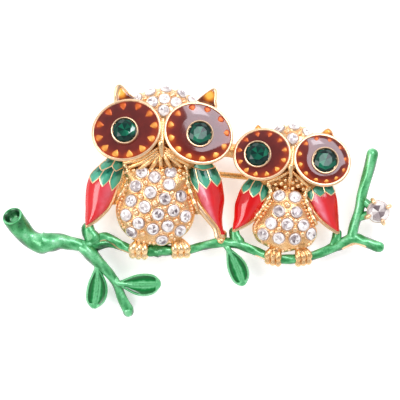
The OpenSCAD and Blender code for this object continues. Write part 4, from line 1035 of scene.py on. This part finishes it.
# Both eyes: bowl and collar, enamel, seeds and stone
def makeEyes(owl):
    out, height = np.array(eye["collar"]).T
    r = stoneSizes["eye"] / 2 + out
    for side, name in bothSides:
        rims, enamel, seeds, stone = Casting(), Casting(), Casting(), Casting()
        addBowl(rims, owl, side)
        addEyeEnamel(enamel, owl, side)
        rims.add(eyeRings(owl, side, r, r, height, stoneAt(owl, side), 64), (1, 0, 0))
        addSeeds(seeds, owl, side)
        addEyeStone(stone, owl, side)
        end = name.title()
        makePiece(f"{owl}EyeRim{end}", rims, finishes["rim"])
        makePiece(f"{owl}EyeEnamel{end}", enamel, finishes["eye"], [f"{owl}_eye_enamel_{name}"])
        makePiece(f"{owl}EyeSeeds{end}", seeds, finishes["seed"])
        makePiece(f"{owl}EyeStone{end}", stone, finishes["green"], [f"{owl}_eye_stone_{name}"],
                  facets=21 + side)


# ears

# Each ear's outline and its pool, from one foot over the tip to the other, and the pool's brightest spot
ears = {
    "big": {
        left: {"rim": [[-8.02, 4.3], [-8.07, 5.35], [-8.06, 6.15], [-7.88, 6.88], [-7.56, 7.25],
                [-7.16, 7.34], [-6.74, 7.17], [-6.22, 6.68], [-5.56, 5.94], [-4.6, 4.9]],
            "pool": [[-7.49, 4.3], [-7.45, 5.38], [-7.29, 6.18], [-7.13, 6.67], [-6.95, 6.86],
                [-6.72, 6.69], [-6.25, 6.27], [-5.62, 5.68], [-4.85, 4.95]],
            "glow": [-6.95, 6.0]},
        right: {"rim": [[5.0, 5.0], [5.98, 6.0], [6.75, 6.64], [7.45, 7.18], [7.8, 7.36], [8.13, 7.34],
                [8.42, 7.03], [8.47, 6.31], [8.44, 5.43], [8.37, 4.2]],
            "pool": [[5.35, 5.2], [6.19, 5.97], [6.92, 6.55], [7.54, 6.99], [7.87, 7.04], [8.05, 6.69],
                [8.08, 6.05], [8.02, 5.25], [7.95, 4.3]],
            "glow": [7.3, 6.1]}},
    "small": {
        left: {"rim": [[-6.43, 3.4], [-6.36, 4.0], [-6.16, 4.45], [-5.87, 4.66], [-5.5, 4.5], [-5.0, 3.9]],
            "pool": [[-6.15, 3.4], [-6.1, 4.0], [-5.95, 4.3], [-5.8, 4.42], [-5.55, 4.25], [-5.2, 3.9]],
            "glow": [-6.0, 4.4]},
        right: {"rim": [[4.3, 4.3], [4.85, 4.89], [5.36, 5.17], [5.8, 5.03], [6.17, 4.58], [6.4, 3.6]],
            "pool": [[4.6, 4.3], [5.05, 4.78], [5.41, 4.95], [5.72, 4.74], [6.0, 4.38], [6.14, 3.6]],
            "glow": [5.2, 5.0]}},
}


# A frame from its outline in to the pool's, and the pool from there to its middle, by shares and heights
def makeEars(owl):
    o = owls[owl]
    height = backZ + o["earH"]
    for side, name in bothSides:
        gold, enamel, ear = Casting(), Casting(), ears[owl][side]
        t = np.linspace(0, 1, 64)
        face = [o["faceX"], o["eyeY"]]
        rim, pool = (along(ear[key] + ear[key][:1], t) + face for key in ("rim", "pool"))
        middle = pool.mean(0)

        # One ring at a height, a share of the way from line a to line b
        def ring(a, b, share, z):
            return onBrooch(owl, raised(mix(a, b, share), z))

        rows = [(0, backZ), (0, height - 0.3), (0.1, height - 0.1), (0.3, height), (0.7, height),
                (0.95, height - 0.05), (1, height - 0.15), (1, height - 0.5)]
        gold.add(np.stack([ring(rim, pool, *row) for row in rows]), (0.9, 0, 0))
        rows = [(-0.03, height - 0.4), (-0.03, height - 0.12), (0.2, height - 0.05), (0.5, height),
                (0.95, height)]
        bright = np.stack([1.05 - 0.72 * np.hypot(*(mix(pool, middle, share) - face - ear["glow"]).T)
                           for share, z in rows])
        enamel.add(np.stack([ring(pool, middle, *row) for row in rows]), trio(bright, 0, 0))
        end = name.title()
        makePiece(f"{owl}EarRim{end}", gold, finishes["rim"])
        makePiece(f"{owl}EarEnamel{end}", enamel, finishes["ear"], [f"{owl}_ear_enamel_{name}"])


# bodies

# a stone's collar under its girdle, outwards of the stone and over the dome
collar = [[0.32, -0.35], [0.29, -0.06], [0.23, 0.05], [0.14, 0.08], [0.04, 0.02], [-0.04, -0.2]]
domePolishAndShade = {"chest": (0.5, 0.4), "crown": (0.9, 0.1)}      # polish with a painted highlight, and painted shade
# the balls in the gaps: widest gap, clearance and radii, and the grains: their place, clearance and radii
bead = {"reach": 1.9, "clear": 0.02, "least": 0.2, "most": 0.5, "grainAt": 0.93, "grainClear": 0.25,
        "grain": (0.3, 0.3, 0.26)}


# A chest's or crown's middle, its outline round that, and its edge and rise
def domeOf(owl, kind):
    o = owls[owl]
    if kind == "chest":
        rows = curve(o["chest"], 49) * [o["chestW"] / 2, o["chestH"] / 2]
        outline = np.vstack([rows, rows[-2:0:-1] * [-1, 1]])
        middle = np.array([o["chestX"], branch["limb"] + o["chestH"] / 2])
        return middle, outline, o["chestEdge"], o["chestRise"]
    a = circle(96)
    outline = np.stack([o["crownW"] / 2 * np.cos(a), o["crownH"] * np.sin(a)], -1) * o["eyeGap"]
    middle = np.array([o["faceX"], o["eyeY"] + o["eyeGap"] * o["crownY"]])
    return middle, outline, o["crownEdge"], o["crownRise"]


# Points on a dome, and the frames square to it: rho = distance / reach, z = edge + rise sqrt(1 - rho^2)
def onDome(owl, kind, spots):
    middle, outline, edge, rise = domeOf(owl, kind)
    spots = np.asarray(spots, float)
    a = np.arctan2(spots[:, 1], spots[:, 0])
    turns = np.arctan2(outline[:, 1], outline[:, 0])
    order = np.argsort(turns)
    far = np.interp(a, turns[order], np.hypot(*outline.T)[order], period=2 * np.pi)
    rho = np.minimum(np.hypot(*spots.T) / far, 0.97)
    height = np.sqrt(1 - rho**2)
    steep = np.arctan(rise / far * rho / height)
    out = trio(np.cos(a), np.sin(a), 0)
    normal = out * np.sin(steep)[:, None] + [0, 0, 1] * np.cos(steep)[:, None]
    place = np.c_[middle + far[:, None] * rho[:, None] * out[:, :2], backZ + edge + rise * height]
    x = unit(np.cross([0, 1, 0], normal))
    return place, np.stack([x, np.cross(normal, x), normal], 1)


# The stones' middles, from the dome's
def stoneSpots(owl, kind):
    o = owls[owl]
    if kind == "chest":
        return np.array(o["chestStones"]) * [o["chestW"] / 2, o["chestH"] / 2]
    return np.array(o["crownStones"]) * [o["crownW"] * o["eyeGap"] / 2, o["crownH"] * o["eyeGap"]]


# Middles of the gaps between neighbouring stones: three whose circle holds no fourth
def gapSpots(spots, reach):
    n = len(spots)
    i, j, k = (x.ravel() for x in np.meshgrid(*[np.arange(n)] * 3, indexing="ij"))
    keep = (i < j) & (j < k)
    a, b, c = spots[i[keep]], spots[j[keep]], spots[k[keep]]
    d = 2 * ((a[:, 0] - c[:, 0]) * (b[:, 1] - c[:, 1]) - (b[:, 0] - c[:, 0]) * (a[:, 1] - c[:, 1]))
    d = np.where(np.abs(d) < 1e-6, 1e-6, d)
    p, q = ((a - c) * (a + c)).sum(1), ((b - c) * (b + c)).sum(1)
    x = (p * (b[:, 1] - c[:, 1]) - q * (a[:, 1] - c[:, 1])) / d
    y = (q * (a[:, 0] - c[:, 0]) - p * (b[:, 0] - c[:, 0])) / d
    middle = np.stack([x, y], -1)
    radius = np.hypot(*(middle - a).T)
    good = (nearest(middle, spots) > radius - 1e-6) & (radius < reach)
    return middle[good], radius[good]


# How far each point is from the nearest spot
def nearest(points, spots):
    return np.hypot(*(points[:, None] - spots[None]).transpose(2, 0, 1)).min(1)


# The dome: its outline times q, and z = edge + rise sqrt(1 - q^2) within it
def addDome(casting, owl, kind):
    middle, outline, edge, rise = domeOf(owl, kind)
    q = np.concatenate([[0.96, 1.0], np.cos(np.linspace(0.06, np.pi / 2 - 0.05, 26))])[:, None]
    z = np.concatenate([[[0.0]], [[edge]], edge + rise * np.sqrt(1 - q[2:]**2)])
    grid = raised(middle + q[..., None] * outline[None], backZ + z)
    casting.add(onBrooch(owl, grid), (*domePolishAndShade[kind], 0))


# A dome's stones with their collars, balls in the gaps between them and grains along its edge, clear of them
def makeStones(beads, owl, kind):
    size = stoneSizes[kind]
    spots = stoneSpots(owl, kind)
    stones = Casting()
    # each stone's painted brightness, higher on the crown
    own = np.random.default_rng(7 + len(spots)).random(len(spots)) + (0.5 if kind == "crown" else 0)
    cut = brilliant(size * stoneSizes["shown"]) + [0, 0, stoneSizes["overDome"]]
    out, height = np.array(collar).T[..., None]
    ring = spun(size / 2 + out, height, 24)
    for place, axes, bright in zip(*onDome(owl, kind, spots), own):
        stones.add(onBrooch(owl, place + cut @ axes), stoneMarks(bright))
        beads.add(onBrooch(owl, place + ring @ axes), (1, 0, 0))
    gaps, radii = gapSpots(spots, bead["reach"])
    radii = np.clip(radii - size / 2 - bead["clear"], bead["least"], bead["most"])
    for place, axes, radius in zip(*onDome(owl, kind, gaps), radii):
        inGap = ball([0, 0, 0.05], [radius, radius, radius * 0.9])
        beads.add(onBrooch(owl, place + inGap @ axes), (0.7, 0, 0))
    edge = domeOf(owl, kind)[1][::2] * bead["grainAt"]
    edge = edge[nearest(edge, spots) > size / 2 + bead["grainClear"]]
    grain = ball([0, 0, 0], bead["grain"], 10, 5)
    for place, axes in zip(*onDome(owl, kind, edge)):
        beads.add(onBrooch(owl, place + grain @ axes), (0.8, 0.1, 0))
    makePiece(f"{owl}{kind.title()}Stones", stones, finishes["clear"], [f"{owl}_{kind}_stones"],
              facets=31 + len(spots))


# An owl's casting and beads: domes, face, shoulders, feet and webs, and for the big owl the bar to the other
def makeBody(owl):
    body, beads = Casting(), Casting()
    for kind in ("chest", "crown"):
        addDome(body, owl, kind)
        makeStones(beads, owl, kind)
    addFace(body, owl)
    addShoulders(body, owl)
    for side in (left, right):
        addFoot(body, owl, side)
        addWeb(body, owl, side)
    if owl == "big":
        addBridge(body)
    makePiece(f"{owl}Casting", body, finishes["gold"], [f"{owl}_owl"])
    makePiece(f"{owl}Beads", beads, finishes["rim"])


web = {
    "start": -0.04, "inner": 0.12,                 # where it starts down the wing, and ends in chest widths
    # across it from the wing to the chest: share of the way, height in chest edges
    "section": [[0, 0], [0, 0.75], [0.05, 1.05], [0.12, 1.25], [0.2, 1.2], [0.35, 0.95], [0.6, 0.9], [1, 0.9],
                [1, 0]],
    "frame": 0.4, "frameHeight": (1.9, 1.25), "beadAngle": 30,
}


# The cast web between a wing's inner edge and the chest, down to a share of the wing: a band with a rounded
# top. On it lies the beaded frame, radius 0.4 (1 + 0.25 sin)
def addWeb(casting, owl, side):
    o = owls[owl]
    end = o["webs"][side]
    t = np.linspace(web["start"], end, 30)
    outer = wingXy(owl, side, t, np.full(30, 0.1))
    inner = np.stack([np.full(30, o["chestX"] + side * web["inner"] * o["chestW"]), outer[:, 1]], -1)
    k, z = np.array(web["section"]).T
    rows = mix(outer[:, None], inner[:, None], k[None, :, None])
    fade = (1 - 0.25 * step(t, end - 0.3, end))[:, None]
    casting.add(onBrooch(owl, raised(rows, backZ + z * o["chestEdge"] * fade)), (0.7, 0.2, 0))
    line = curve(o["frames"][side], 48) + [o["faceX"], o["eyeY"]]
    high = backZ + o["chestEdge"] * np.linspace(*web["frameHeight"], 48)
    radius = web["frame"] * (1 + 0.25 * np.sin(np.linspace(0, web["beadAngle"], 48)))
    casting.add(onBrooch(owl, tube(np.c_[line, high], radius, 12)), (1, 0, 0))


shoulders = {
    "corners": [[-0.6, -0.27], [0.6, -0.27], [0.36, -0.5], [-0.4, -0.5]],      # in gaps between the eyes
    # share of the outline and height in eye heights, from the back over the top
    "section": [(1.08, 0.0), (1.14, 0.3), (1.14, 0.5), (1.05, 0.6), (0.8, 0.66), (0.3, 0.68)],
}


# The plate behind the eyes and the beak: its four corners rounded by a smooth step, closing over its top
def addShoulders(casting, owl):
    o = owls[owl]
    corners = np.array(shoulders["corners"]) * o["eyeGap"] + [o["faceX"], o["eyeY"]]
    a = np.arange(48) / 12
    k = a.astype(int) % 4
    edge = mix(corners[k], corners[(k + 1) % 4], step((a % 1)[:, None], -0.1, 1.1))
    middle = corners.mean(0)
    grid = np.stack([raised(middle + share * (edge - middle), backZ + o["eyeH"] * z)
                     for share, z in shoulders["section"]])
    # the plate mostly in painted shade, behind the eyes
    casting.add(onBrooch(owl, grid), (0.3, 0.7, 0))


# X, Y as shares of the gap between the eyes, Z from the eyes' height, radius as a share of the gap
beak = [[0, 0.16, -0.25, 0.028], [0, -0.1, 0.1, 0.034], [-0.01, -0.17, 0.2, 0.05], [0.01, -0.33, -0.1, 0.028]]
stroke = {"heights": [-0.65, -0.75, -1.45], "radii": [0.024, 0.036, 0.030], "grainDepth": -1.3}


# The beak's ridge, the strokes that spread from it over the collar, each through three places, and the grains
def addFace(casting, owl):
    o = owls[owl]
    x, y, e = o["faceX"], o["eyeY"], o["eyeGap"]
    top = backZ + o["eyeH"]
    ridge = np.array(beak) * [e, e, 1, e] + [x, y, top, 0]
    casting.add(onBrooch(owl, rod(ridge, 30, 14)), (0.9, 0, 0))
    for row in o["strokes"]:
        spots = np.array(row).reshape(-1, 2) + [x, y]
        rows = np.c_[spots, top + np.array(stroke["heights"]), np.array(stroke["radii"]) * e]
        casting.add(onBrooch(owl, rod(rows, 16, 10)), (0.55, 0.05, 0))
    for a, b, r in o["grains"]:
        casting.add(onBrooch(owl, ball([x + a, y + b, top + stroke["grainDepth"]], [r, r, r])), (1, 0, 0))


toeMarks = {"big": (1, 0, 0), "small": (0.55, 0.4, 0)}      # polish with a painted highlight, and painted shade


# Three toes over the limb, each a knuckled line of five places, and the leg behind them
def addFoot(casting, owl, side):
    o = owls[owl]
    r, limb = o["toe"], branch["limb"]
    at = onBrooch(owl, [side * o["footX"], 0.0, 0.0])[0]
    hip = onBrooch(owl, [side * o["footX"] * 0.72, limb + 2.0, 0.0])
    ankle = np.array([at - 0.4 * side, limbY(at) + limb + 0.55, limbZ(at) + 0.55])
    for k in (-1, 0, 1):
        x = at + k * r * 1.85
        y, z = float(limbY(x)), float(limbZ(x))
        toe = [[ankle[0] + k * r * 1.2, ankle[1] + 0.15, ankle[2] + 0.1, r * 0.9],
               [x, y + 0.35, z + limb + r * 0.5, r * 1.3],
               [x, y - 0.25, z + limb * 0.8 + r * 0.35, r * 0.95],
               [x, y - 0.75, z + limb * 0.6, r * 1.2],
               [x, y - limb - r * 0.4, z - 0.1, r * 0.9]]
        casting.add(rod(toe, 26, 14), toeMarks[owl])
    leg = [[hip[0], hip[1], backZ + 2.2, 0.9], [*mix(hip[:2], ankle[:2], 0.6), ankle[2] + 0.2, 0.8],
           [*ankle, 0.85]]
    # the leg in painted shade
    casting.add(rod(leg, 14, 18), (0.3, 0.55, 0))


bridge = {"from": (0.40, -0.22), "to": 0.42, "height": 1.4, "radius": 1.3, "waist": 0.15}


# The bar between the two faces, waisted by 0.15 sin(pi t), and the foot of the big owl's right wing
def addBridge(casting):
    x, y = np.array(bridge["from"]) * owls["big"]["eyeD"]
    a = onBrooch("big", eyeAxes("big", right)[0] + [x, y, 0])
    b = onBrooch("small", eyeAxes("small", left)[0] - [bridge["to"] * owls["small"]["eyeD"], 0, 0])
    t = np.linspace(0, 1, 20)
    line = raised(mix(a, b, t[:, None]), backZ + bridge["height"])
    casting.add(tube(line, bridge["radius"] - bridge["waist"] * np.sin(np.pi * t)), (0.3, 0.3, 0))
    tip = onBrooch("big", wingXy("big", right, np.array(1.0), np.array(0.5)))
    x = tip[0] - 0.3
    foot = [[tip[0], tip[1] + 0.6, backZ + 0.75, 0.7], [x, float(limbY(x)) + 0.3, backZ + 0.8, 0.9]]
    casting.add(rod(foot, 12, 18), (0.5, 0.1, 0))


# pin

pin = {
    "d": 0.95, "length": 24, "z": 0.475 + 0.9, "turn": -5.6, "hinge": [3.2, 2.6], "at": [-9.5, 5.5],
    # the free end: where it thins past the catch, its reach, its point, and its radii as shares of the wire's
    "past": 0.3, "tip": 3.8, "point": 1.1, "thin": 0.62, "step": [0.93, 0.66, 0.63],
    "catch": 2.2, "clear": 0.2, "gap": 0.06,       # the catch's width, room round the wire, gap to the backs
}


# From the pin's own axes, X along the wire from the hinge, to the brooch's
def onPin(grid):
    return raised(turned(grid, pin["turn"]) + pin["at"], grid[..., 2])


# A block with rounded edges: rings of a superellipse |x|^8 + |y|^8 = 1 between two heights
def block(centre, size, low, high, n=40):
    a = circle(n)
    shape = np.stack([np.cos(a), np.sin(a)], -1)
    shape /= ((np.abs(shape) ** 8).sum(-1) ** (1 / 8))[:, None]
    edge = shape * np.asarray(size) / 2
    rows = [(0.94, low), (1, low + 0.12), (1, high - 0.12), (0.94, high)]
    return np.stack([raised(np.asarray(centre) + share * edge, z) for share, z in rows])


# Hinge block, wire with its thinner free end, and the catch: a hook round the wire, on a foot at the casting
def makePin():
    metal = Casting()
    d, length, axis = pin["d"], pin["length"], pin["z"]
    top = backZ - pin["gap"]
    reach = length + pin["tip"]
    end = length + pin["catch"] / 2 + pin["past"]
    k = np.linspace(0, 1, 10)
    x = np.concatenate([np.linspace(0, end - 0.06, 12), [end, end + 0.03, reach - pin["point"] * 0.6],
                        reach - pin["point"] * (1 - k) * 0.55])
    r = np.concatenate([np.full(12, 1.0), pin["step"], pin["thin"] * (1 - 0.85 * k**2)]) * d / 2
    metal.add(onPin(block([0, 0], pin["hinge"], 0, top)), (0.5, 0.1, 0))
    metal.add(onPin(tube(trio(x, 0, axis), r, domed=False)), (0.7, 0, 0))
    a = np.radians(np.linspace(0, 270, 28))
    inner = d / 2 + pin["clear"]
    middle, thick = (axis + inner) / 2, (axis - inner) / 2
    line = trio(length, -middle * np.cos(a), axis - middle * np.sin(a))
    out = unit(line - [length, 0, axis])
    half = pin["catch"] / 2
    corners = ((-half, -thick), (half, -thick), (half, thick), (-half, thick))
    metal.add(onPin(np.stack([line + out * v + [u, 0, 0] for u, v in corners], 1)), (0.5, 0.1, 0))
    metal.add(onPin(block([length, -axis * 0.75], [pin["catch"], axis * 0.5], 0, top)), (0.5, 0.1, 0))
    metal.add(onPin(block([length, 0], [pin["catch"], d / 2], 0.3, axis)), (0.5, 0.1, 0))
    makePiece("pinBack", metal, finishes["pin"], ["pin_back"])


makeBranch()
makePools()
makeTwigStone()
print("branch made")
for owl in owls:
    makeWings(owl)
    makeEyes(owl)
    makeEars(owl)
    makeBody(owl)
    print("owl made:", owl)
makePin()
print("pin made")

# floor, light and camera

studio = {
    "view": 64.0, "centre": (0.24, 0.08, 6.0), "distance": 420.0, "sensor": 36.0, "floor": 3.0, "glow": 0.5,
    # the air is dim round the camera overhead and bright from 40 degrees off it: height of the ray, strength
    "air": (0.98, 0.77, 0.2, 0.68),
    # place, width, height, power, colour, and for a level box its turn about the vertical
    "boxes": {"keyBox": ((176, 300, 400), 290, 330, 1.7, (0.93, 0.91, 1), 12),
              "windowBox": ((85, 330, 399), 70, 110, 0.14, (0.96, 0.93, 1), 12),
              "fillBox": ((-320, 10, 380), 220, 280, 0.9, (1, 1, 1), None),
              "lowBox": ((60, -420, 260), 300, 160, 0.16, (1, 1, 1), None)},
}


# A soft box that faces the brooch, or straight down if it has a turn
def makeBox(name, place, width, height, power, colour, turn):
    light = bpy.data.lights.new(name, "AREA")
    light.shape = "RECTANGLE"
    light.size, light.size_y = width * 0.001, height * 0.001
    light.energy, light.color = power, colour
    lamp = bpy.data.objects.new(name, light)
    lamp.location = np.array(place) * 0.001
    if turn is None:
        direction = np.array([0, 0, 0.005]) - np.array(place) * 0.001
        lamp.rotation_euler = Vector(direction).to_track_quat("-Z", "Y").to_euler()
    else:
        lamp.rotation_euler = (0, 0, math.radians(turn))
    bpy.context.scene.collection.objects.link(lamp)


# The table, the lights, the air and the camera straight above
def makeStudio():
    scene = bpy.context.scene
    r = studio["floor"]
    floor = bpy.data.meshes.new("tableTop")
    floor.from_pydata([(-r, -r, 0), (r, -r, 0), (r, r, 0), (-r, r, 0)], [], [(0, 1, 2, 3)])
    f = Finish("tablePaper")
    pale = f.blend(f.between(f.noise(0.02, 2), 0.3, 0.7), (0.90, 0.90, 0.90), (0.93, 0.93, 0.93))
    floor.materials.append(f.done(Base_Color=pale, Roughness=0.9, Emission_Color=pale,
                                  Emission_Strength=studio["glow"]))
    table = bpy.data.objects.new("tableTop", floor)
    scene.collection.objects.link(table)
    for name, box in studio["boxes"].items():
        makeBox(name, *box)
    world = bpy.data.worlds.new("studioAir")
    world.use_nodes = True
    nodes, links = world.node_tree.nodes, world.node_tree.links
    where, parts = nodes.new("ShaderNodeTexCoord"), nodes.new("ShaderNodeSeparateXYZ")
    fade = nodes.new("ShaderNodeMapRange")
    for key, value in zip(("From Min", "From Max", "To Min", "To Max"), studio["air"]):
        fade.inputs[key].default_value = value
    links.new(where.outputs["Generated"], parts.inputs[0])
    links.new(parts.outputs["Z"], fade.inputs["Value"])
    nodes["Background"].inputs[0].default_value = (0.97, 0.97, 1.0, 1)
    links.new(fade.outputs[0], nodes["Background"].inputs[1])
    scene.world = world
    camera = bpy.data.cameras.new("camera")
    camera.sensor_width = studio["sensor"]
    camera.lens = studio["sensor"] * studio["distance"] / studio["view"]
    camera.clip_start, camera.clip_end = 0.01, 10
    eyePoint = bpy.data.objects.new("camera", camera)
    x, y, z = studio["centre"]
    eyePoint.location = (x * 0.001, y * 0.001, (z + studio["distance"]) * 0.001)
    scene.collection.objects.link(eyePoint)
    scene.camera = eyePoint
    scene.view_settings.view_transform = "Standard"


makeStudio()
print("studio made")
